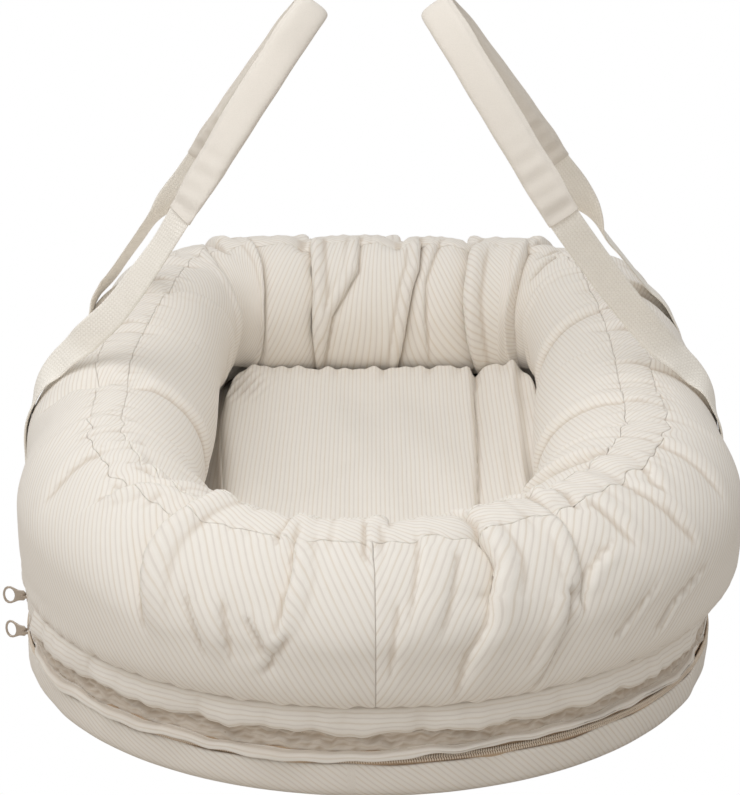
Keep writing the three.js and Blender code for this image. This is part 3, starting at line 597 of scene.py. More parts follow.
def creaseField(s, run):
    # Draw-in, sideways lean and hidden cloth of all creases. Each valley is steep on one side,
    # where a rounded lip leans over it, and easy on the other
    c = creaseForm
    depth, slide, hidden = np.zeros_like(s), np.zeros_like(s), np.zeros_like(s)
    for line, deep, wide, cloth, steep in creases:
        line, w, d = np.array(line).reshape(-1, 2) / 1000, wide / 1000, deep / 1000
        lengths = np.linalg.norm(np.diff(line, axis=0), axis=1)
        reach = c["reach"] * w + c["margin"]
        px = awayFrom(s, line[0, 0]) + line[0, 0]
        near = (px > line[:, 0].min() - reach) & (px < line[:, 0].max() + reach)
        near &= (run > line[:, 1].min() - reach) & (run < line[:, 1].max() + reach)
        x, y = px[near], run[near]
        best = np.full(x.shape, np.inf)
        side, along = np.zeros_like(x), np.zeros_like(x)
        gone = 0.0
        for (ax, ay), (bx, by), length in zip(line[:-1], line[1:], lengths):
            ux, uy = (bx - ax) / length, (by - ay) / length
            t = np.clip((x - ax) * ux + (y - ay) * uy, 0, length)
            far = np.hypot(x - ax - t * ux, y - ay - t * uy)
            closer = far < best
            cross = (x - ax) * uy - (y - ay) * ux
            best = np.where(closer, far, best)
            side = np.where(closer, np.sign(cross) * np.sign(uy + 1e-9), side)
            along = np.where(closer, gone + t, along)
            gone += length
        share = along / gone
        fade = smooth01(share / c["start"] + c["startShare"]) * smooth01((1 - share) / c["end"])
        off = best * side
        lee = off * (steep or 1)
        soft, sharp = (c["soft"], c["sharp"]) if steep else (c["even"], c["even"])
        valley = np.where(lee > 0, fading(lee, w * sharp), fading(lee, w * soft))
        lip = hill(lee - w * c["lipAt"], w * c["lipWide"]) * (c["lip"] if steep else c["evenLip"])
        over = steep * hill(lee - w * c["slideAt"], w * c["slideWide"])
        depth[near] += d * fade * (valley - lip)
        slide[near] -= d * fade * c["slide"] * over
        hidden[near] += cloth / 1000 * fade * np.tanh(off / c["hideEdge"]) * c["hide"] \
            * hill(off, c["hideReach"])
    return depth, slide, hidden


def coverRelief(s, run):
    # How far the cover is drawn in: seams, their puckers, tucks and the band's dips
    c = relief
    seamA, seamB, low = run - crestOuterRun, run - crestInnerRun, run - bottomRun
    depth = c["seamDip"] * (fading(seamA, c["seamEdge"]) + fading(seamB, c["seamEdge"]))
    depth += c["seamWide"] * (hill(seamA, c["seamReach"]) + hill(seamB, c["seamReach"]))
    depth += c["pucker"] * (ripple(s, *c["outerWaves"]) * fading(seamA, c["puckerReach"])
                            + ripple(s, *c["innerWaves"]) * fading(seamB, c["puckerReach"]))
    depth += c["hem"] * ripple(s, *c["hemWaves"]) * fading(low, c["hemReach"])
    depth += c["hemLine"] * fading(low, c["hemLine"])
    folds, slide, cloth = creaseField(s, run)
    depth += folds
    dips = sum(d / 1000 * hill(awayFrom(s, at / 1000), w / 1000) for at, d, w in bandDips)
    depth += dips * smooth01((seamA + c["bandFade"]) / c["bandFade"]) \
        * smooth01((c["bandFade"] - seamB) / c["bandFade"])
    centre = c["centreDip"] * fading(s - seamAt, c["centreEdge"])
    centre += c["centreWide"] * hill(s - seamAt, c["centreReach"])
    centre += c["centreDip"] * fading(np.abs(s) - halfRound, c["centreEdge"])
    depth += centre * before(seamA, *c["centreEnd"])
    # at the foot the nest side falls away steeply behind the crest band
    depth += c["footDrop"] * before(np.abs(s), *c["footFrom"]) \
        * smooth01(seamB / c["footBelow"]) * before(seamB, *c["footEnd"])
    return depth + sidePull(s, run), slide, cloth


pull = {"depth": 0.0140, "from": (0.40, 0.17), "to": (0.74, 0.11), "run": (0.235, 0.085)}
lean = {"out": 0.0065, "more": 0.0025, "from": 0.02, "later": 0.03, "fade": 0.09,
        "beside": 0.12, "above": 0.055, "rise": 0.025}
wander = {"wave": 0.0017, "waves": (3.7, (0.047, 0.0283, 0.0201)), "least": 0.2,
          "foot": (0.30, 0.08), "head": (0.6, 0.08), "outer": 0.010, "inner": 0.008,
          "innerShare": 0.6}


def sidePull(s, run):
    # The nest side stands steeper at the back of both sides than the section does
    along = np.abs(s)
    return pull["depth"] * ahead(along, *pull["from"]) * before(along, *pull["to"]) \
        * ahead(run, *pull["run"])


def swayed(x, y, z):
    # The foot half of the bumper leans a little to the right over its base
    c = lean
    share = smooth01((-y - c["from"] - c["later"] * (x > 0)) / c["fade"])
    share *= smooth01((np.abs(x) - c["beside"]) / c["fade"])
    share *= smooth01((z - c["above"]) / c["rise"])
    return x + (c["out"] + c["more"] * (x < 0)) * share


def coverPoint(s, run):
    c = wander
    ends = np.maximum(before(np.abs(s), *c["foot"]), ahead(np.abs(s), *c["head"]))
    near = fading(run - crestOuterRun, c["outer"])
    near = near + c["innerShare"] * fading(run - crestInnerRun, c["inner"])
    wave = c["wave"] * (c["least"] + (1 - c["least"]) * ends) * ripple(s, *c["waves"])
    x, z, outX, outZ = sectionAt(run + wave * near)
    depth, slide, cloth = coverRelief(s, run)
    px, py = planPoint(s + slide, x - outX * depth)
    pz = lifted(py, z - outZ * depth)
    return np.stack([swayed(px, py, pz), py, pz], -1), cloth


# Stripes keep their direction in the flat pattern while the seam turns, so they lean more
# and more from the run of the section: degrees at distances round from the foot, left and right
headLean = ((640, 97), (680, 108), (720, 125), (760, 147), (800, 163), (845, 180))
outerLean = {-1: ((0, 17), (40, 20), (80, 23), (120, 28), (160, 31), (200, 37), (254, 47),
                  (330, 62), (400, 78), (470, 88), (600, 91), *headLean),
             1: ((0, 18), (40, 21), (80, 22), (110, 28), (146, 37), (160, 41), (200, 51), (240, 65),
                 (280, 77), (330, 81), (400, 85), (600, 91), *headLean)}
innerLean = {-1: ((0, 0), (80, 28), (200, 66), (296, 80), (360, 82), (417, 84), (520, 93),
                  (600, 114), (637, 128), (680, 142), (720, 152), (755, 160), (800, 167),
                  (845, 180)),
             1: ((0, 0), (80, 24), (200, 60), (240, 69), (280, 75), (330, 77), (400, 79), (520, 83),
                 (600, 89), *headLean)}
stripes = {"steps": 1601, "smooth": 40, "outerMiddle": 0.13, "innerMiddle": 0.262,
           "band": math.radians(58)}


def leaningStripe(s, run, cloth, tables, middle):
    left, right = (oneLean(np.abs(s) + cloth * side, np.abs(s), run, tables[side], middle)
                   for side in (-1, 1))
    return np.stack([np.where(s < 0, -left, right), run], -1)


def oneLean(along, s, run, table, middle):
    line = np.linspace(0, halfRound, stripes["steps"])
    places, angles = np.array(table).T
    angle = np.radians(np.interp(line * 1000, places, angles))
    pad, count = stripes["smooth"], 2 * stripes["smooth"] + 1
    angle = np.pad(angle, pad, mode="reflect", reflect_type="odd")
    angle = np.convolve(angle, np.full(count, 1 / count), "valid")
    sums = np.concatenate([[0], np.cumsum(np.cos(angle[1:]) * (line[1] - line[0]))])
    here = np.interp(s, line, angle)
    return np.interp(np.clip(along, 0, halfRound), line, sums) - np.sin(here) * (run - middle)


def outerStripe(s, run, cloth):
    fromSeam = s - seamAt * (1 - np.abs(s) / halfRound)
    return leaningStripe(fromSeam, run, cloth, outerLean, stripes["outerMiddle"])


def bandStripe(s, run, cloth):
    across, up = math.cos(stripes["band"]), math.sin(stripes["band"])
    return np.stack([s * across + (run - crestOuterRun) * up, run], -1)


def innerStripe(s, run, cloth):
    return leaningStripe(s, run, cloth, innerLean, stripes["innerMiddle"])


# The cloth simulation holds the seams and all folds deeper than "held"
coverShape = {"round": 0.0019, "up": 0.0034, "thickness": 0.0013, "gather": 1.05, "cap": 0.010,
              "held": 0.0024, "inward": 0.0035, "frames": 18, "ringLevel": 0.6, "upLevel": 0.75,
              "hollowShading": ((2, 1), 0.00075),
              "wear": {"quality": 5, "mass": 0.25, "air_damping": 2.0, "tension_stiffness": 12,
                       "compression_stiffness": 12, "tension_damping": 6, "compression_damping": 6,
                       "shear_stiffness": 4, "bending_stiffness": 0.12, "use_pressure": True,
                       "uniform_pressure_force": 2.5, "vertex_group_mass": "sewn"}}


def settleCloth(obj, start, rest, pin, outward, c):
    # Cloth with its edges pinned and a rest shape wider than the seams. A point moves no
    # further than the cap from where it started, and less than that inwards
    obj.shape_key_add(name="shaped")
    flat = obj.shape_key_add(name="flat")
    flat.data.foreach_set("co", rest.astype(np.float32).ravel())
    group = obj.vertex_groups.new(name="sewn")
    group.add(np.nonzero(pin.ravel())[0].tolist(), 1.0, "REPLACE")
    cloth = obj.modifiers.new("cloth", "CLOTH")
    for key, value in c["wear"].items():
        setattr(cloth.settings, key, value)
    cloth.settings.rest_shape_key = flat
    cloth.settings.effector_weights.gravity = 0
    cloth.collision_settings.use_collision = False
    cloth.point_cache.frame_start, cloth.point_cache.frame_end = 1, c["frames"]
    scene = bpy.context.scene
    for step in range(1, c["frames"] + 1):
        scene.frame_set(step)
    moved = coordsOf(obj.evaluated_get(bpy.context.evaluated_depsgraph_get()))
    scene.frame_set(1)
    obj.modifiers.remove(cloth)
    obj.shape_key_clear()
    obj.vertex_groups.clear()
    start, outward = start.reshape(-1, 3), outward.reshape(-1, 3)
    shift = moved - start
    shift = np.where(np.isfinite(shift), shift, 0)
    far = np.maximum(np.linalg.norm(shift, axis=1, keepdims=True), 1e-9)
    shift *= np.minimum(1, c["cap"] / far)
    inwards = (shift * outward).sum(1, keepdims=True)
    shift += outward * (np.maximum(inwards, -c["inward"]) - inwards)
    obj.data.vertices.foreach_set("co", (start + shift).astype(np.float32).ravel())
    obj.data.update()
    print("settled", obj.name, "moved up to", round(float(np.linalg.norm(shift, axis=1).max()), 4))


def gridNormals(points, closed):
    # Unit normals of a grid of points, outwards for a grid laid round, then up
    if closed:
        along = np.roll(points, -1, 0) - np.roll(points, 1, 0)
    else:
        along = np.gradient(points, axis=0)
    normal = np.cross(along, np.gradient(points, axis=1))
    return normal / np.maximum(np.linalg.norm(normal, axis=2, keepdims=True), 1e-12)


def shadeFolds(obj, shape, closed, reach, depth, floor=0.35):
    # Marks the hollows of a grid's final surface for painted shade: the striped finish mixes them
    # warmer and darker
    points = coordsOf(obj).reshape(*shape, 3).astype(float)
    a, b = reach
    odd = {"mode": "reflect", "reflect_type": "odd"}
    wide = np.pad(points, ((a, a), (0, 0), (0, 0)), **({"mode": "wrap"} if closed else odd))
    tall = np.pad(points, ((0, 0), (b, b), (0, 0)), **odd)
    normal = gridNormals(points, closed)
    hollowShading = [((low + high) / 2 - points) * normal for low, high in
               ((wide[:-2 * a], wide[2 * a:]), (tall[:, :-2 * b], tall[:, 2 * b:]))]
    hollowShade = np.maximum(hollowShading[0].sum(2), hollowShading[1].sum(2)) / depth
    layer = obj.data.attributes.new("fold", "FLOAT", "POINT")
    layer.data.foreach_set("value", np.clip(hollowShade - floor, 0, 1).astype(np.float32).ravel())


def restShape(points, closed, c):
    # Flat pattern of a panel: true lengths up the section, gathered lengths round it. A
    # closed panel keeps its ring and is only made wider
    if closed:
        steps = np.linalg.norm(np.roll(points, -1, 0) - points, axis=2)
        usual = np.quantile(steps, c["ringLevel"], axis=1, keepdims=True)
        grow = usual * c["gather"] / np.maximum(steps, 1e-9)
        spread = points - points.mean(axis=(0, 1))
        wide = np.sqrt(np.median(np.maximum(grow, 1.0)))
        return np.concatenate([spread[..., :2] * wide, spread[..., 2:]], -1).reshape(-1, 3)
    up = np.median(np.linalg.norm(np.diff(points, axis=1), axis=2), axis=0)
    steps = np.quantile(np.linalg.norm(np.diff(points, axis=0), axis=2), c["upLevel"], axis=1)
    flat = np.zeros(points.shape)
    flat[..., 0] = np.concatenate([[0], np.cumsum(steps * c["gather"])])[:, None]
    flat[..., 1] = np.concatenate([[0], np.cumsum(up)])[None, :]
    return flat.reshape(-1, 3)


seamHalf = 0.00004
nearSeam = np.array([0, 0.0005, 0.0012, 0.0022])
innerEnd = innerRun + 0.006
panelSpecs = [
    ("bumperOuterRight", "bumper_outer_right", seamAt + seamHalf, halfRound - seamHalf, bottomRun,
     crestOuterRun - seamHalf, outerStripe),
    ("bumperOuterLeft", "bumper_outer_left", halfRound + seamHalf,
     2 * halfRound + seamAt - seamHalf, bottomRun, crestOuterRun - seamHalf, outerStripe),
    ("bumperCrestBand", "bumper_crest_band", -halfRound, halfRound, crestOuterRun + seamHalf,
     crestInnerRun - seamHalf, bandStripe),
    ("bumperInnerPanel", "bumper_inner_panel", -halfRound, halfRound, crestInnerRun + seamHalf,
     innerEnd, innerStripe)]


def seamSteps(a, b, step):
    # Even steps from a to b, closer together next to the two seams
    inside = np.linspace(a + nearSeam[-1], b - nearSeam[-1], max(int((b - a) / step), 4))
    return np.concatenate([a + nearSeam[:-1], inside, b - nearSeam[-2::-1]])


def makeCover(c):
    # The four sewn panels: grids of distances round by runs along the section
    for name, node, sFrom, sTo, runFrom, runTo, stripeOf in panelSpecs:
        closed = sFrom < 0
        if closed:
            around = np.linspace(sFrom, sTo, int((sTo - sFrom) / c["round"]) + 1)
        else:
            around = seamSteps(sFrom, sTo, c["round"])
        s, run = np.meshgrid(around, seamSteps(runFrom, runTo, c["up"]), indexing="ij")
        wrapped = s if closed else signed(np.mod(s, 2 * halfRound))
        points, cloth = coverPoint(wrapped, run)
        uvs = stripeOf(wrapped, run, cloth)
        if closed:
            points = points[:-1]
            pair = 2 * stripeWeave["pitch"]
            total = float(uvs[-1, 0, 0] - uvs[0, 0, 0])
            uvs[..., 0] += (round(total / pair) * pair - total) * (s + halfRound) / (2 * halfRound)
        obj = gridMesh(name, points, finishes["stripe"], "lounger", uvs, closed=(closed, False))
        pin = np.zeros(points.shape[:2], bool)
        pin[:, [0, -1]] = True
        pin |= creaseField(wrapped, run)[0][:len(points)] > c["held"]
        if not closed:
            pin[[0, -1]] = True
        settleCloth(obj, points, restShape(points, closed, c), pin,
                    gridNormals(points, closed), c)
        # Painted shade in the panel's hollows
        shadeFolds(obj, points.shape[:2], closed, *c["hollowShading"])
        solid = obj.modifiers.new("thickness", "SOLIDIFY")
        solid.thickness, solid.offset = c["thickness"], -1
        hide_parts(node)
        print("panel", name, points.shape)


makeCover(coverShape)

filling = {"round": 260, "up": 60, "finer": (4, 2), "below": (0.28, 0.62, 0.9), "belowEnd": 0.02,
           "under": 0.006}


def makeFilling(c):
    # Stuffing under the cover: the cover's own form, a little further in. Each cell takes
    # the deepest draw-in of its neighbourhood
    (a, b), (n, m) = c["finer"], (c["round"], c["up"])
    s, across = ringSteps(n * a), np.linspace(bottomRun, innerEnd, m * b)
    grid = np.meshgrid(signed(s), across, indexing="ij")
    depth = coverRelief(*grid)[0].reshape(n, a, m, b).max(axis=(1, 3))
    for axis, mode in ((0, "wrap"), (1, "edge")):
        near = np.pad(depth, [(1, 1) if k == axis else (0, 0) for k in (0, 1)], mode=mode)
        parts = [np.take(near, range(k, k + depth.shape[axis]), axis) for k in (0, 1, 2)]
        depth = np.maximum.reduce(parts)
    below = innerRun + (sectionRound - innerRun + c["belowEnd"]) * np.array(c["below"])
    depth = np.concatenate([depth, np.zeros((n, len(below)))], 1) + c["under"]
    s, run = np.meshgrid(signed(s[::a]), np.concatenate([across[::b], below]), indexing="ij")
    x, z, outX, outZ = sectionAt(run)
    px, py = planPoint(s, x - outX * depth)
    pz = lifted(py, z - outZ * depth)
    points = np.stack([swayed(px, py, pz), py, pz], -1)
    obj = gridMesh("bumperFilling", points, finishes["fibre"], "lounger", closed=(True, True))
    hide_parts("bumper_filling")


makeFilling(filling)
print("bumper made")

# The mattress. Offset of its upper edge at distances round: it follows the nest side, with a
# gap at the left. Then offset and height of its side, from below
mattress = {"rim": ((-845, -62), (-720, -58), (-640, -49), (-594, -46.5), (-520, -55),
                    (-450, -64.5), (-383, -72), (-330, -75), (-250, -70), (0, -64), (385, -61.5),
                    (450, -58), (500, -53), (560, -48.5), (620, -48.5), (680, -56), (720, -60),
                    (845, -62)),
            "side": ((0.036, 0.0056), (0.0442, 0.0085), (0.0452, 0.016), (0.0446, 0.030),
                     (0.0453, 0.045), (0.043, 0.053), (0.036, 0.0562), (0.000, 0.0575),
                     (-0.030, 0.0597), (-0.042, 0.0612)),
            "rise": ((0.0035, 0.0625), (0.0012, 0.0690)), "top": 0.079, "rings": 84, "round": 560,
            "inwards": 1.25, "edgeDrop": 0.0045, "edgeReach": 0.003, "gapDrop": 0.0045,
            "gapReach": 0.008, "gapFrom": (-0.250, 0.05), "gapTo": (-0.610, 0.06), "skew": 0.03,
            "fine": 1401, "smooth": 30, "middle": 0.002, "hollowShading": ((2, 2), 0.0024)}
longFold = {"at": 0.0752, "wave": (0.0010, 13), "shift": 0.0012, "step": 0.0065, "stepWide": 0.026,
            "deep": 0.0105, "easy": 0.0075, "steep": 0.0011, "near": 0.72, "beyond": (0.080, 0.03),
            "tucks": ((0.0975, 0.010, 0.0034, 0.0048), (0.1140, 0.006, 0.0040, 0.0055)),
            "tuckMiddle": 0.15, "tuckLip": 0.7, "tuckLipAt": 1.7, "far": (-0.02, 0.2)}
slack = {"head": (0.285, 0.02), "foot": (-0.26, 0.06), "wave": 0.0015, "waveTurn": (0.8, 0.55),
         "waveLength": 0.16, "wavePhase": 0.6, "fine": 0.0009, "fineTurn": 0.25,
         "fineEnd": (0.25, 0.1), "fineWaves": (2.2, (0.071, 0.047)), "dent": 0.0030,
         "dentAt": (-0.045, -0.017), "dentSlope": 1.9, "dentWide": 0.030, "dentFrom": (-0.11, 0.05),
         "dentTo": (0.09, 0.06), "dentRight": (0.03, 0.05), "corner": 0.0055,
         "cornerAt": (-0.113, 0.195), "cornerStretch": (1.2, 0.8), "cornerWide": 0.02,
         "cornerWaves": (0.95, 0.3, 820), "back": 0.0045, "backFrom": (0.15, 0.07), "tuck": 0.0012,
         "tuckFrom": (0.19, 0.05), "tuckWaves": (5.5, (0.031, 0.0193, 0.0127))}


def mattressHeight(x, y):
    # Top of the mattress cover: slack waves, and one long fold at the right with the cloth
    # beyond it pulled up towards the bumper
    c = longFold
    far = ahead(y, *c["far"])
    fold = x - (c["at"] + c["wave"][0] * np.sin(y * c["wave"][1]) - c["shift"] * far)
    step = c["step"] * smooth01(fold / c["stepWide"]) - c["deep"] * np.where(
        fold > 0, np.exp(-fold / c["easy"]), np.exp(fold / c["steep"]))
    step *= c["near"] + (1 - c["near"]) * far
    rising = ahead(x, *c["beyond"])
    for at, slant, deep, wide in c["tucks"]:
        away = x - at - slant * (c["tuckMiddle"] - y)
        lip = c["tuckLip"] * hill(away - wide * c["tuckLipAt"], wide)
        step -= rising * deep * (hill(away, wide) - lip)
    c = slack
    (turnX, turnY), (dentX, dentY), (cornerX, cornerY) = c["waveTurn"], c["dentAt"], c["cornerAt"]
    (wideX, wideY), (slantX, slantY, close) = c["cornerStretch"], c["cornerWaves"]
    turned = (x * turnX + y * turnY) * 2 * math.pi / c["waveLength"]
    waves = c["wave"] * np.sin(turned + c["wavePhase"])
    waves += c["fine"] * ripple(x + c["fineTurn"] * y, *c["fineWaves"]) * before(y, *c["fineEnd"])
    slope = (y - dentY) - (x - dentX) * c["dentSlope"]
    waves -= c["dent"] * hill(slope, c["dentWide"]) * ahead(y, *c["dentFrom"]) \
        * before(y, *c["dentTo"]) * before(x, *c["dentRight"])
    corner = np.hypot((x - cornerX) * wideX, (y - cornerY) * wideY)
    waves -= c["corner"] * hill(corner, c["cornerWide"]) \
        * (0.5 + 0.5 * np.sin((x * slantX - y * slantY) * close))
    waves += c["tuck"] * ripple(x, *c["tuckWaves"]) * ahead(y, *c["tuckFrom"])
    ends = before(y, *c["head"]) * ahead(y, *c["foot"])
    return mattress["top"] + c["back"] * ahead(y, *c["backFrom"]) + (step + waves) * ends


def makeMattress(c):
    s = signed(ringSteps(c["round"]))
    gap = before(s, *c["gapFrom"]) * ahead(s, *c["gapTo"])
    places, offsets = np.array(c["rim"]).T / 1000
    fine = np.linspace(-halfRound, halfRound, c["fine"])
    rim = np.pad(np.interp(fine, places, offsets), c["smooth"], mode="wrap")
    count = 2 * c["smooth"] + 1
    rim = np.interp(s, fine, np.convolve(rim, np.full(count, 1 / count), "valid"))
    rows = []
    for offset, z in c["side"] + tuple((rim + further, z) for further, z in c["rise"]):
        x, y = planPoint(s, offset)
        rows.append(np.stack([x, y, np.full_like(x, z)], -1))
    rimX, rimY = planPoint(s, rim)
    for k in range(c["rings"]):
        share = 1 - (k / (c["rings"] - 1)) ** c["inwards"] * (1 - c["middle"])
        x, y = rimX * share, rimY * share
        inward = (1 - share) * np.hypot(rimX, rimY)
        edge = c["edgeDrop"] * np.exp(-inward / c["edgeReach"]) \
            + gap * c["gapDrop"] * np.exp(-inward / c["gapReach"])
        rows.append(np.stack([x, y, mattressHeight(x, y) - edge], -1))
    points = np.stack(rows, 1)
    uvs = np.concatenate([points, points[:1]], 0)[..., :2].copy()
    uvs[..., 0] += c["skew"] * uvs[..., 1]
    obj = gridMesh("mattressCover", points, finishes["stripe"], "lounger", uvs,
                   closed=(True, False))
    # Painted shade in the mattress cover's hollows
    shadeFolds(obj, points.shape[:2], True, *c["hollowShading"])
    closeUp(obj)
    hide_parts("mattress")


makeMattress(mattress)

# Base, flaps, gusset and zips
base = {"offset": 0.0526, "height": 0.0238, "round": 0.0098, "wall": 0.0016, "count": 460,
        "wallSteps": (0.013, 0.017, 0.0205, 0.0228), "bulge": 0.0004, "insideSteps": (0.018, 0.012),
        "lip": ((-0.0002, 0), (-0.0010, 0.0003), (-0.0016, -0.0006)), "turnHeight": 0.0035,
        "waveFrom": (0, 0.01), "riseFrom": (0.012, 0.01), "arcSteps": 9, "overBoard": 0.0001,
        "underside": (0.02, 0.35, 0.7), "inside": (0.6, 0.02), "flat": 0.06,
        "wave": 0.0007, "waves": (0.7, (0.052, 0.031, 0.083)),
        "rise": 0.0005, "rises": (5.2, (0.044, 0.069)), "angle": 36.5, "turn": 24}


def baseStripe(s, down):
    # Bias stripes of the base: their angle to the edge grows from the left to the right
    line = np.linspace(-halfRound, halfRound, stripes["steps"])
    angle, here = (np.radians(base["angle"] + base["turn"] * np.sin(at * math.pi / halfRound))
                   for at in (line, s))
    sums = np.cumsum(np.sin(angle) * (1 + base["offset"] / planRadius(line))) * (line[1] - line[0])
    return np.interp(s, line, sums) - np.cos(here) * down


def makeBase(c):
    s = ringSteps(c["count"])
    sAt = signed(s)
    out, curve, wall = c["offset"], c["round"], c["wall"]
    profile = [(out - curve + curve * math.cos(a), curve - curve * math.sin(a))
               for a in np.radians(np.linspace(90, 0, c["arcSteps"]))]
    profile += [(out + c["bulge"], z) for z in c["wallSteps"]]
    profile += [(out + dx, c["height"] + dz) for dx, dz in c["lip"]]
    profile += [(out - wall, z) for z in c["insideSteps"]]
    profile += [(out - wall - curve / 2, c["turnHeight"]),
                (out - wall - curve, wall + c["overBoard"])]
    rows, downs, down, last = [], [], c["flat"], profile[0]
    edgeX, edgeY = planPoint(sAt, last[0])
    for share in c["underside"]:
        rows.append(np.stack([edgeX * share, edgeY * share, np.zeros_like(edgeX)], -1))
        downs.append(down)
    for offset, z in profile:
        down -= math.hypot(offset - last[0], z - last[1])
        last = (offset, z)
        wave = c["wave"] * ripple(sAt, *c["waves"]) * ahead(z, *c["waveFrom"])
        rise = c["rise"] * ripple(sAt, *c["rises"]) * ahead(z, *c["riseFrom"])
        rows.append(np.stack([*planPoint(sAt, offset + wave), z + rise], -1))
        downs.append(down)
    edgeX, edgeY = planPoint(sAt, last[0])
    for share in c["inside"]:
        rows.append(np.stack([edgeX * share, edgeY * share, np.full_like(edgeX, wall)], -1))
        downs.append(down)
    points = np.stack(rows, 1)
    sLong, downAt = np.meshgrid([*s, 2 * halfRound], downs, indexing="ij")
    u = baseStripe(signed(np.mod(sLong, 2 * halfRound)), downAt)
    u[-1] = u[0] + (baseStripe(np.array(halfRound), 0.0) - baseStripe(np.array(-halfRound), 0.0))
    uvs = np.stack([u, downAt], -1)
    obj = gridMesh("baseCover", points, finishes["stripe"], "lounger", uvs, closed=(True, False))
    closeUp(obj)
    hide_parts("base_tray")


def ringRibbon(name, node, slot, front, thickness, finish, shift):
    # A closed band round the ring. Its front is rows of (offset, height), which may change
    # with the distance round; its back is the same rows, a thickness further in
    loop = front + [(offset - thickness, z) for offset, z in front[::-1]]
    points = np.stack([np.stack([*planPoint(ringAt, o), z + 0 * ringAt], -1) for o, z in loop], 1)
    ring = np.concatenate([points, points[:, :1]], 1)
    across = np.linalg.norm(np.diff(ring, axis=1), axis=2).mean(0)
    sLong, acrossAt = np.meshgrid([*ringSteps(bands["count"]), 2 * halfRound],
                                  np.concatenate([[0], np.cumsum(across)]), indexing="ij")
    uvs = np.stack([acrossAt + shift, sLong], -1)
    obj = gridMesh(name, points, finishes[finish], "lounger", uvs, closed=(True, True))
    # Painted shade in the band's hollows
    shadeFolds(obj, points.shape[:2], True, *bands["hollowShading"])
    closeUp(obj)
    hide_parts(node)


def smoothSteps(s, places, values):
    # Value round the ring, eased between the given places
    places, values = np.array(places) / 1000, np.array(values) / 1000
    full = np.concatenate([[-halfRound], places, [halfRound]])
    levels = np.concatenate([[values[-1]], values, [values[-1]]])
    k = np.clip(np.searchsorted(full, s) - 1, 0, len(full) - 2)
    t = smooth01((s - full[k]) / np.maximum(full[k + 1] - full[k], 1e-6))
    return levels[k] + (levels[k + 1] - levels[k]) * t


# Both flaps are drawn in beside the places where the pulls flip, at both ends of their travel
bands = {"count": 620, "pullAt": 0.249, "pullReach": 0.050, "pullEase": 0.014, "pullShare": 0.25,
         "shift": 0.0011, "lowerZip": 0.0275, "upperZip": 0.0430, "lowerCoil": 0.0526,
         "upperCoil": 0.0472, "hollowShading": ((1, 1), 0.0009), "lowerThick": 0.0011,
         "gussetThick": 0.0010, "upperThick": 0.0012, "tapeThick": 0.0006}
# Lower edge of the lower flap: heights at distances round
lowerEdge = ((-420, 26.0), (-318, 26.4), (-296, 30.6), (-205, 30.6), (-184, 26.6), (-120, 26.2),
             (-99, 26.6), (-90, 28.6), (-78, 28.4), (-66, 26.4), (-30, 26.2), (10, 28.0),
             (40, 31.4), (90, 32.4), (150, 33.0), (230, 33.2), (330, 32.0), (420, 28.0),
             (700, 26.4))
# Rows of the lower flap: offset, share of the belly, share of the height, height above
lowerRows = ((0.0490, 0, 1, -0.0006), (0.0520, 0.6, 1, 0.0004), (0.0540, 1, 0.8, 0),
             (0.0548, 1, 0.5, 0), (0.0546, 1, 0, 0.0014), (0.0552, 0.8, 0, 0.0006),
             (0.0549, 0.7, 0, 0), (0.0540, 0.5, 0, -0.0001))
# Rows of the upper flap: offset, shares of its wave and fine wave, height, shares of the fall
# of its lower edge and of the rise of its upper one
upperRows = ((0.0515, 1, 0, 0.0456, 1, 0), (0.0545, 1, 1, 0.0449, 1, 0),
             (0.0563, 1, 1, 0.0464, 1, 0), (0.0570, 1, 0.6, 0.0500, 0.6, 0),
             (0.0562, 0.6, 1, 0.0545, 0, 0.3), (0.0552, 0.3, 1, 0.0585, 0, 0.6),
             (0.0536, 0, 0.5, 0.0616, 0, 1), (0.0518, 0, 0, 0.0632, 0, 1))
# Zip tapes: zip, place beside its coil, word of the node, side, margin and offset
tapes = (("lower", "Below", "lower", -1, 0.0064, 0.0514),
         ("lower", "Above", "upper", 1, 0.0042, 0.0506),
         ("upper", "Below", "lower", -1, 0.0036, 0.0466),
         ("upper", "Above", "upper", 1, 0.0110, 0.0466))
gussetHeights = (0.0316, 0.0336, 0.0356, 0.0376, 0.0396, 0.0414, 0.0430, 0.0446, 0.0460)
# Waves of the bands: size, seed and periods
waving = {"lowerEdge": (0.0005, 3.3, (0.031, 0.019)), "lowerTall": (0.0006, 4.4, (0.061, 0.037)),
          "lowerBelly": (0.0009, 1.1, (0.071, 0.043)),
          "gussetLift": (0.0010, 3.9, (0.0151, 0.0093)),
          "gussetFold": (0.0011, 0.4, (0.0231, 0.0147, 0.041)),
          "upperWave": (0.0011, 1.9, (0.057, 0.0353, 0.083)),
          "upperFine": (0.0006, 6.1, (0.0171, 0.0113, 0.0243)),
          "upperFall": (0.0013, 2.7, (0.083, 0.051, 0.029)),
          "upperFray": (0.0005, 5.2, (0.0151, 0.0103))}
bandForm = {"tall": 0.0052, "lessTall": 0.38, "lowest": 0.0264, "belly": 0.0016,
            "lowerInner": 0.0506, "upperInner": 0.0512, "gusset": 0.0506, "gussetLean": 0.00012,
            "gussetSlant": 0.0062, "gussetBulge": (0.0010, 1.1), "gussetTurn": 0.4,
            "gussetEnds": ((0.0496, 0.0300), (0.0482, 0.0478)), "upperAt": (0.053, 0.0625),
            "tapeLift": 0.0002, "tapeWaves": (0.047, 0.029),
            "tapeRows": ((0, 0), (0.0003, 0.0012), (0, 0.0030)), "tapeEdge": 0.0007,
            "tapeEnd": 0.0002}
ringAt = signed(ringSteps(bands["count"]))


def drawnIn(front, inner):
    keep = 1 - (1 - bands["pullShare"]) * smooth01(
        (bands["pullReach"] - np.abs(np.abs(ringAt) - bands["pullAt"])) / bands["pullEase"])
    return [(inner + (offset - inner) * keep, z) for offset, z in front]


def waves(name, shift=0.0):
    size, seed, periods = waving[name]
    return size * ripple(ringAt + shift, seed, periods)


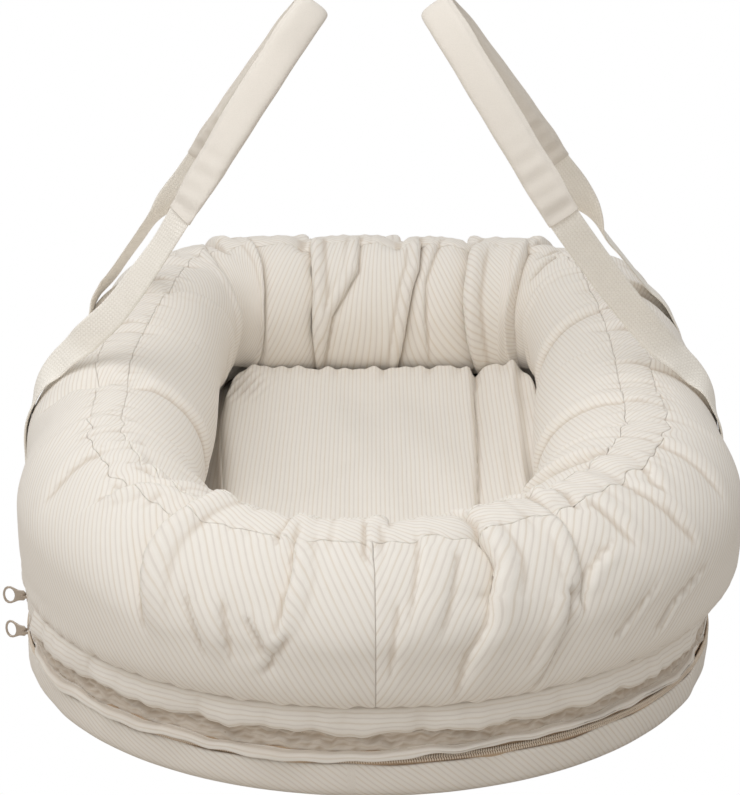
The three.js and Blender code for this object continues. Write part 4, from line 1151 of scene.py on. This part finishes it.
def lowerFlap(c):
    low = smoothSteps(ringAt, *zip(*lowerEdge)) + waves("lowerEdge")
    tall = c["tall"] + waves("lowerTall") - c["lessTall"] * (low - c["lowest"])
    belly = c["belly"] + waves("lowerBelly")
    return drawnIn([(o + belly * b, low + tall * t + z) for o, b, t, z in lowerRows],
                   c["lowerInner"])


def gusset(c):
    # Crumpled cloth between the two zips, with folds that cross it on a slant
    bulge, turn = c["gussetBulge"]
    middle = [(c["gusset"] - c["gussetLean"] * k + waves("gussetFold", k * c["gussetSlant"])
               + bulge * math.sin(k * turn),
               z + waves("gussetLift") * math.sin(k * c["gussetTurn"]))
              for k, z in enumerate(gussetHeights)]
    return [c["gussetEnds"][0], *middle, c["gussetEnds"][1]]


def upperFlap(c):
    wave, fine = waves("upperWave"), waves("upperFine")
    fall = waves("upperFall") + waves("upperFray")
    offset, height = c["upperAt"]
    rise = lifted(planPoint(ringAt, offset)[1], height) - height
    return drawnIn([(o + wave * a + fine * b, z + fall * f + rise * r)
                    for o, a, b, z, f, r in upperRows], c["upperInner"])


def tape(c, height, side, margin, offset):
    # Zip tape from the coil outwards; side is 1 above the zip's line, -1 below
    lift = c["tapeLift"] * ripple(ringAt, 1.0 + side, c["tapeWaves"])
    edge = height + side * c["tapeEdge"]
    front = [(offset + dx + lift, edge + side * dz) for dx, dz in c["tapeRows"]]
    return front + [(offset - c["tapeEnd"], edge + side * margin)]


teeth = {"pitch": 0.0015, "stations": (-1.0, -0.55, 0.0, 0.55, 1.0), "sides": 6,
         "girth": (0.45, 0.95, 1.0, 0.95, 0.45), "half": 0.00125, "out": 0.0007, "bow": 0.0004,
         "along": 0.00052, "slant": 0.00025, "apart": 0.00105, "steps": 3001}


def makeTeeth(name, height, offset, c):
    # Two rows of coil turns that meet on the zip's line: small bent beads, one mesh. A bead
    # runs up and down across the tape, its section round it
    pitch, m, k = c["pitch"], len(c["stations"]), c["sides"]
    count = int((2 * halfRound + 2 * math.pi * offset) / pitch)
    line = np.linspace(-halfRound, halfRound, c["steps"])
    sums = np.cumsum(1 + offset / planRadius(line)) * (line[1] - line[0])
    centres = np.interp(np.linspace(0, sums[-1], count, endpoint=False), sums, line)
    ring = np.linspace(0, 2 * math.pi, k, endpoint=False)[None, :]
    station, girth = np.array(c["stations"])[:, None], np.array(c["girth"])[:, None]
    out = np.cos(ring) * c["out"] * girth + c["bow"] * (1 - station ** 2)
    local = [(a * k + b, a * k + (b + 1) % k, (a + 1) * k + (b + 1) % k, (a + 1) * k + b)
             for a in range(m - 1) for b in range(k)]
    caps = ((0, 1, 2, 3), (0, 3, 4, 5))
    local += [cap[::-1] for cap in caps] + [tuple((m - 1) * k + b for b in cap) for cap in caps]
    points = []
    for side in (1, -1):
        s = signed(np.mod(centres + (pitch / 2 if side > 0 else 0), 2 * halfRound))[:, None, None]
        slip = np.sin(ring) * c["along"] * girth + c["slant"] * side * station
        x, y = planPoint(s + slip / (1 + offset / planRadius(s)), offset + out + 0 * s)
        z = height + side * c["apart"] + station * c["half"] + 0 * ring
        points.append(np.stack([x, y, z + 0 * x], -1).reshape(-1, 3))
    faces = np.array(local) + (np.arange(2 * count) * m * k)[:, None, None]
    obj = rawMesh(name, np.concatenate(points), faces.reshape(-1, 4), finishes["coil"], "lounger")
    closeUp(obj)


def makeBands(c):
    rows = [("lowerFlap", "lower_zip_flap", "striped_cotton", lowerFlap(bandForm),
             c["lowerThick"], "stripe"),
            # The gusset takes the finish darkened by painted shade
            ("zipGusset", "zip_gusset", "striped_cotton", gusset(bandForm),
             c["gussetThick"], "inner"),
            ("placket", "upper_zip_flap", "striped_cotton", upperFlap(bandForm),
             c["upperThick"], "stripe")]
    for which, place, part, side, margin, offset in tapes:
        rows.append((f"{which}Tape{place}", f"{which}_zip_{part}_tape", "zip_tape",
                     tape(bandForm, c[f"{which}Zip"], side, margin, offset),
                     c["tapeThick"], "tape"))
    for k, row in enumerate(rows):
        ringRibbon(*row, c["shift"] * k)
    for which in ("lower", "upper"):
        makeTeeth(f"{which}ZipCoil", c[f"{which}Zip"], c[f"{which}Coil"], teeth)


makeBase(base)
makeBands(bands)
print("base made")

# Handles. Centre line of the right handle from the near swing line to the far one, and the
# direction of its width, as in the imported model
handleRows = np.array([
    (239.1, -30.9, 138.4, -0.023, 1, -0.019), (232.1, -30.8, 153.4, -0.019, 1, -0.021),
    (221.7, -30.3, 165.2, -0.117, 0.991, -0.057), (212.1, -33.5, 177.2, -0.698, 0.669, -0.255),
    (203.1, -37.8, 189.4, -0.81, 0.115, -0.574), (184.7, -45.9, 213.7, -0.795, -0.018, -0.607),
    (166.3, -54, 238, -0.795, -0.018, -0.607), (147.9, -62.5, 262.2, -0.791, -0.013, -0.611),
    (130.2, -70, 285.8, -0.808, -0.025, -0.588), (107, -59.3, 318.5, -0.823, -0.017, -0.568),
    (85.5, -43.5, 349.4, -0.824, -0.013, -0.566), (64.6, -24.8, 379.2, -0.821, -0.014, -0.57),
    (54.3, -13.4, 393.6, -0.813, -0.02, -0.581), (48.3, -5.1, 401.4, -0.803, -0.036, -0.595),
    (43, 5.5, 407.8, -0.806, -0.036, -0.59), (42, 12, 409, -0.81, 0, -0.587),
    (43.1, 18.5, 407.8, -0.795, 0.027, -0.606), (48.3, 29.1, 401.3, -0.788, 0.01, -0.616),
    (54.3, 37.4, 393.6, -0.799, -0.011, -0.601), (64.9, 48, 378.8, -0.808, -0.024, -0.589),
    (86.5, 64, 348.2, -0.813, -0.027, -0.582), (108.3, 78.7, 317, -0.813, -0.028, -0.581),
    (130.1, 95.1, 285.8, -0.81, -0.025, -0.586), (146.3, 112.9, 262.8, -0.81, -0.022, -0.586),
    (154.5, 122.1, 251, -0.872, 0.233, -0.431), (162.8, 131.3, 239.2, -0.75, 0.661, -0.014),
    (171.1, 140.4, 227.4, -0.393, 0.839, 0.375), (187.7, 158.7, 203.8, -0.332, 0.844, 0.421),
    (204, 177.3, 180.4, -0.357, 0.805, 0.474), (212.6, 185.8, 168.5, -0.179, 0.968, 0.174),
    (223.9, 186.5, 155.9, -0.047, 0.999, 0.025), (231.4, 187.1, 139.9, -0.042, 0.999, 0.021)])
# At rows of the line: millimetres out from the nest and up, and degrees of twist, left and
# then right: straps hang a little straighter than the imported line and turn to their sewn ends
strapEase = ((0, 0.6, 0, -8, 0.6, 0, -8), (1, 1.6, 0, -22, 1.6, 0, -22),
             (2, 1.2, 0, -48, 1.2, 0, -48), (3, -1, 0, -90, -1, 0, -90),
             (4, -3, -2, -150, -3, -2, -150), (5, -6, -5, -152, -4, -3.5, -180),
             (6, -6, -5, -145, -4, -3.5, -180), (7, -5, -4, -136, -3, -3, -180),
             (8, -3, -2, -138, -2, -2, -180), (10, -1, 0, -158, -1, 0, -180),
             (12, 0, 0, -180, 0, 0, -180), (23, 0, 0, -180, 0, 0, -180),
             (25, 2, 0, -184, -3, 0, -180), (26, 4, 0, -200, -5, 0, -180),
             (29, 4, 0, -200, -4, 0, -180), (30, 2, 0, -190, -2, 0, -180),
             (31, 0, 0, -180, 0, 0, -180))
handles = {"webbing": 0.0108, "thick": 0.0009, "grip": 0.0116, "gripThick": 0.0046,
           "nearHem": 8, "farHem": 22, "nearStrap": -0.030, "farStrap": 0.182, "gap": 0.0011,
           "pivotHeight": 0.138, "count": 620, "gripCount": 300, "overlap": 0.001, "sides": 16,
           "powers": (0.35, 0.7), "sewn": (0.003, 0.004, 8), "aside": 0.1}
gripForm = {"sides": 40, "powers": (0.6, 0.8), "slim": 0.45, "slimReach": 0.055, "wave": 0.014,
            "waves": (1.4, (0.065, 0.038)), "waveReach": 0.02,
            "pinch": 0.025, "pinchReach": 0.03, "crease": 0.0006,
            "creases": (2.2, (0.021, 0.013)), "creaseReach": 0.09, "edge": 0.0016,
            "edgeFrom": 0.985, "edgeReach": 0.03, "hem": (0.93, 0.3)}


def splineThrough(rows, count):
    # Catmull-Rom curve through the rows, resampled evenly along its length, with the length
    # at each step and at each of the given rows
    knots = np.concatenate([[0], np.cumsum(np.linalg.norm(np.diff(rows[:, :3], axis=0), axis=1))])
    slope = np.gradient(rows, knots, axis=0)
    fine = np.linspace(0, knots[-1], count)
    k = np.clip(np.searchsorted(knots, fine, side="right") - 1, 0, len(knots) - 2)
    h = (knots[k + 1] - knots[k])[:, None]
    t = ((fine - knots[k]) / h[:, 0])[:, None]
    a, b, da, db = rows[k], rows[k + 1], slope[k] * h, slope[k + 1] * h
    out = (2 * t ** 3 - 3 * t ** 2 + 1) * a + (t ** 3 - 2 * t ** 2 + t) * da
    out += (3 * t ** 2 - 2 * t ** 3) * b + (t ** 3 - t ** 2) * db
    return out, fine, knots


def frameAlong(points, width):
    # Width and face directions, square to the line through the points
    tangent = np.gradient(points, axis=0)
    tangent /= np.linalg.norm(tangent, axis=1, keepdims=True)
    width = width - tangent * (width * tangent).sum(1, keepdims=True)
    width /= np.linalg.norm(width, axis=1, keepdims=True)
    return width, np.cross(tangent, width)


def rounded(angle, powers, sizes):
    # Flat rounded section: across and out for each angle
    return [np.sign(part) * np.abs(part) ** power * size
            for part, power, size in zip((np.cos(angle), np.sin(angle)), powers, sizes)]


def strapRows(distance, runs, gap):
    # Rows of a strap sewn to the bumper's side: centre line, then width direction
    s = np.full(len(runs), distance)
    x, z, outX, outZ = sectionAt(runs)
    px, py = planPoint(s, x + outX * gap)
    pz = lifted(py, z + outZ * gap)
    ax, ay = planPoint(s, 0.0)
    bx, by = planPoint(s, handles["aside"])
    along = np.stack([ay - by, bx - ax, 0 * ax], -1) / handles["aside"]
    return np.concatenate([np.stack([px, py, pz], -1), along], 1)


def distanceAtY(y):
    line = np.linspace(arcTable[1, 3], arcTable[2, 3], fineSteps)
    return float(np.interp(y, planPoint(line, 0.0)[1], line))


def makeHandle(word, side, c):
    rows = handleRows.copy()
    rows[:, :3] /= 1000
    ease = np.array(strapEase)
    columns = (1, 2, 3) if side < 0 else (4, 5, 6)
    out, up, twist = (np.interp(np.arange(len(rows)), ease[:, 0], ease[:, k]) for k in columns)
    width, face = frameAlong(rows[:, :3], rows[:, 3:])
    turn = np.radians(twist)[:, None]
    rows[:, 3:] = width * np.cos(turn) + face * np.sin(turn)
    rows[:, 0] += out / 1000
    rows[:, 2] += up / 1000
    pivotRun = runTable[np.argmax((sectionX > 0) & (sectionZ > c["pivotHeight"]))]
    above, below, rowCount = c["sewn"]
    runs = np.linspace(bottomRun + above, pivotRun - below, rowCount)
    near = strapRows(distanceAtY(c["nearStrap"]), runs, c["gap"])
    far = strapRows(distanceAtY(c["farStrap"]), runs, c["gap"])[::-1]
    for part, end in ((near, 0), (far, -1)):
        if part[0, 3:] @ rows[end, 3:] < 0:
            part[:, 3:] *= -1
    allRows = np.concatenate([near, rows, far])
    allRows[:, [0, 3]] *= side
    line, length, knots = splineThrough(allRows, c["count"])
    points = line[:, :3]
    width, face = frameAlong(points, line[:, 3:6])
    angle = np.linspace(0, 2 * math.pi, c["sides"], endpoint=False) + math.pi / c["sides"]
    across, out = rounded(angle, c["powers"], (c["webbing"], c["thick"]))
    body = points[:, None] + width[:, None] * across[None, :, None]
    body = body + face[:, None] * out[None, :, None]
    ring = np.hypot(np.diff(across, append=across[0]), np.diff(out, append=out[0]))
    along, girth = np.meshgrid(length, np.concatenate([[0], np.cumsum(ring)]), indexing="ij")
    web = gridMesh(f"{word}Webbing", body, finishes["web"], None, np.stack([girth, along], -1),
                   "web", closed=(False, True))
    closeUp(web)
    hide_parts(f"{word}_handle_webbing", f"{word}_strap_near", f"{word}_strap_far")
    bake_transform(web)

    hemA, hemB = (knots[len(near) + c[hem]] for hem in ("nearHem", "farHem"))
    inside = np.linspace(hemA - c["overlap"], hemB + c["overlap"], c["gripCount"])
    middle, width = (np.stack([np.interp(inside, length, part[:, k]) for k in range(3)], -1)
                     for part in (points, width))
    makeGrip(word, middle, *frameAlong(middle, width), inside - inside[0],
             (c["grip"], c["gripThick"]), gripForm)


def makeGrip(word, middle, width, face, along, sizes, c):
    # Padded sleeve: a flat rounded tube with a sewn edge on one side, slack near its hems,
    # which turn in round the webbing
    angle = np.linspace(0, 2 * math.pi, c["sides"], endpoint=False)
    across, out = rounded(angle, c["powers"], sizes)
    total = along[-1]
    toEnd = np.minimum(along, total - along)[:, None]
    slim = c["slim"] + (1 - c["slim"]) * smooth01(toEnd / c["slimReach"])
    wave = 1 + c["wave"] * ripple(along, *c["waves"])[:, None] * smooth01(toEnd / c["waveReach"])
    pinch = 1 - c["pinch"] * fading(along[:, None] - total / 2, c["pinchReach"])
    crease = c["crease"] * ripple(along, *c["creases"])[:, None] * np.sin(angle) \
        * smooth01(1 - toEnd / c["creaseReach"])
    edge = (np.cos(angle) > c["edgeFrom"]) * c["edge"] * smooth01(toEnd / c["edgeReach"])
    widths = across * (pinch * wave) + edge
    outs = out * slim + crease
    hemAcross, hemOut = (across * c["hem"][0])[None], (out * c["hem"][1])[None]
    parts = ((slice(0, 1), hemAcross, hemOut), (slice(None), widths, outs),
             (slice(-1, None), hemAcross, hemOut))
    body = np.concatenate([middle[k, None] + width[k, None] * a[..., None]
                           + face[k, None] * o[..., None] for k, a, o in parts], 0)
    grip = gridMesh(f"{word}Grip", body, finishes["grip"], f"{word}_handle",
                    closed=(False, True), levels=1)
    closeUp(grip)
    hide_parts(f"{word}_grip_sleeve")


for word, side in (("right", 1), ("left", -1)):
    makeHandle(word, side, handles)
print("handles made")

# Pulls: half widths at distances from the pivot, and the oval hole of the ring, in millimetres
pullShape = {"along": (-1.3, -0.8, 0.6, 2.4, 4.4, 6.6, 9.2, 11.4, 13.2, 14.3, 14.7),
             "half": (0.0, 2.6, 3.7, 3.6, 3.9, 5.0, 6.1, 6.1, 4.9, 2.7, 0.0),
             "hole": (9.9, 3.3, 4.7), "thick": 1.15, "turns": 96, "round": 12, "start": 0.0013,
             "edge": (0.7, 0.5)}


def nodePoints(name):
    node = frame["nodes"][name]
    world = np.array(node.matrix_world)
    return coordsOf(node) @ world[:3, :3].T + world[:3, 3]


def makePull(word, c):
    # Flat oval ring with a flared neck: sections from the hole's edge out to the outline
    cad = nodePoints(f"{word}_zip_pull")
    middle = cad.mean(0)
    length, width = np.linalg.svd(cad - middle, full_matrices=False)[2][:2]
    if (middle - nodePoints(f"{word}_zip_slider").mean(0)) @ length < 0:
        length = -length
    start = middle + length * (((cad - middle) @ length).min() + c["start"])
    angle = np.linspace(0, 2 * math.pi, c["turns"], endpoint=False)
    at, along, across = c["hole"]
    holeX, holeY = at + along * np.cos(angle), across * np.sin(angle)
    fine = np.linspace(c["along"][0], c["along"][-1], fineSteps)
    half = np.interp(fine, c["along"], c["half"])
    outline = np.concatenate([np.stack([fine, half], 1), np.stack([fine, -half], 1)[::-1]])
    heading = np.arctan2(outline[:, 1] / across, (outline[:, 0] - at) / along)
    order = np.argsort(heading)
    turned = np.mod(angle + math.pi, 2 * math.pi) - math.pi
    outX, outY = (np.interp(turned, heading[order], outline[order, k], period=2 * math.pi)
                  for k in (0, 1))
    loop = np.linspace(0, 2 * math.pi, c["round"], endpoint=False) + math.pi / c["round"]
    share, lift = rounded(loop, c["edge"], (0.5, c["thick"] / 2))
    x = holeX[:, None] + (outX - holeX)[:, None] * (0.5 + share)
    y = holeY[:, None] + (outY - holeY)[:, None] * (0.5 + share)
    flat = np.stack([x, y, lift[None] + 0 * x], -1) / 1000
    points = start + flat @ np.stack([length, width, np.cross(length, width)])
    obj = gridMesh(f"{word}Pull", points, finishes["metal"], f"{word}_pull", closed=(True, True))
    closeUp(obj)
    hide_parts(f"{word}_zip_pull")


for word in ("lower", "upper"):
    makePull(word, pullShape)
print("pulls made")

# Lamps: name, place, turn in degrees, size and power
studio = {"floor": 6.0, "below": -0.0005, "ground": (0.62, 0.575, 0.52, 1), "rough": 0.9,
          "world": 0.56, "sky": (1, 0.99, 0.975, 1), "white": (1, 1, 1, 1),
          "lamp": (0.985, 0.99, 1.0),
          "lamps": (("keyLight", (-1.0, -0.9, 2.2), (22, -24, 0), 1.9, 15.4),
                    ("fillLight", (-0.9, -2.4, 1.5), (58, 0, -18), 1.8, 3.0),
                    ("nestLight", (-0.1, -0.35, 0.95), (32, 0, 0), 0.5, 1.6))}


def whiteToCamera(tree, lit, plain, output):
    # The camera sees plain white, everything else the lit shader
    mix = tree.nodes.new("ShaderNodeMixShader")
    path = tree.nodes.new("ShaderNodeLightPath")
    tree.links.new(path.outputs["Is Camera Ray"], mix.inputs[0])
    tree.links.new(lit.outputs[0], mix.inputs[1])
    tree.links.new(plain.outputs[0], mix.inputs[2])
    tree.links.new(mix.outputs[0], tree.nodes[output].inputs[0])


def makeStudio(c):
    bpy.ops.mesh.primitive_plane_add(size=c["floor"], location=(0, 0, c["below"]))
    floor = bpy.context.object
    floor.name = "studioFloor"
    m = Finish("studioFloor")
    glow = m.node("ShaderNodeEmission", Color=c["white"], Strength=1.0)
    whiteToCamera(m.tree, m.shader, glow, "Material Output")
    floor.data.materials.append(m.finish(c["ground"], c["rough"]))
    world = bpy.data.worlds.new("studioWorld")
    bpy.context.scene.world = world
    world.use_nodes = True
    sky = world.node_tree.nodes["Background"]
    sky.inputs[0].default_value, sky.inputs[1].default_value = c["sky"], c["world"]
    plain = world.node_tree.nodes.new("ShaderNodeBackground")
    plain.inputs[0].default_value = c["white"]
    whiteToCamera(world.node_tree, sky, plain, "World Output")
    for name, place, turn, size, power in c["lamps"]:
        data = bpy.data.lights.new(name, "AREA")
        data.size, data.energy, data.color = size, power, c["lamp"]
        lamp = bpy.data.objects.new(name, data)
        lamp.location = place
        lamp.rotation_euler = [math.radians(a) for a in turn]
        bpy.context.scene.collection.objects.link(lamp)


makeStudio(studio)

for node, finish in (("base_board", "board"), ("lower_zip_slider", "metal"),
                     ("upper_zip_slider", "metal")):
    frame["nodes"][node].data.materials.clear()
    frame["nodes"][node].data.materials.append(finishes[finish])
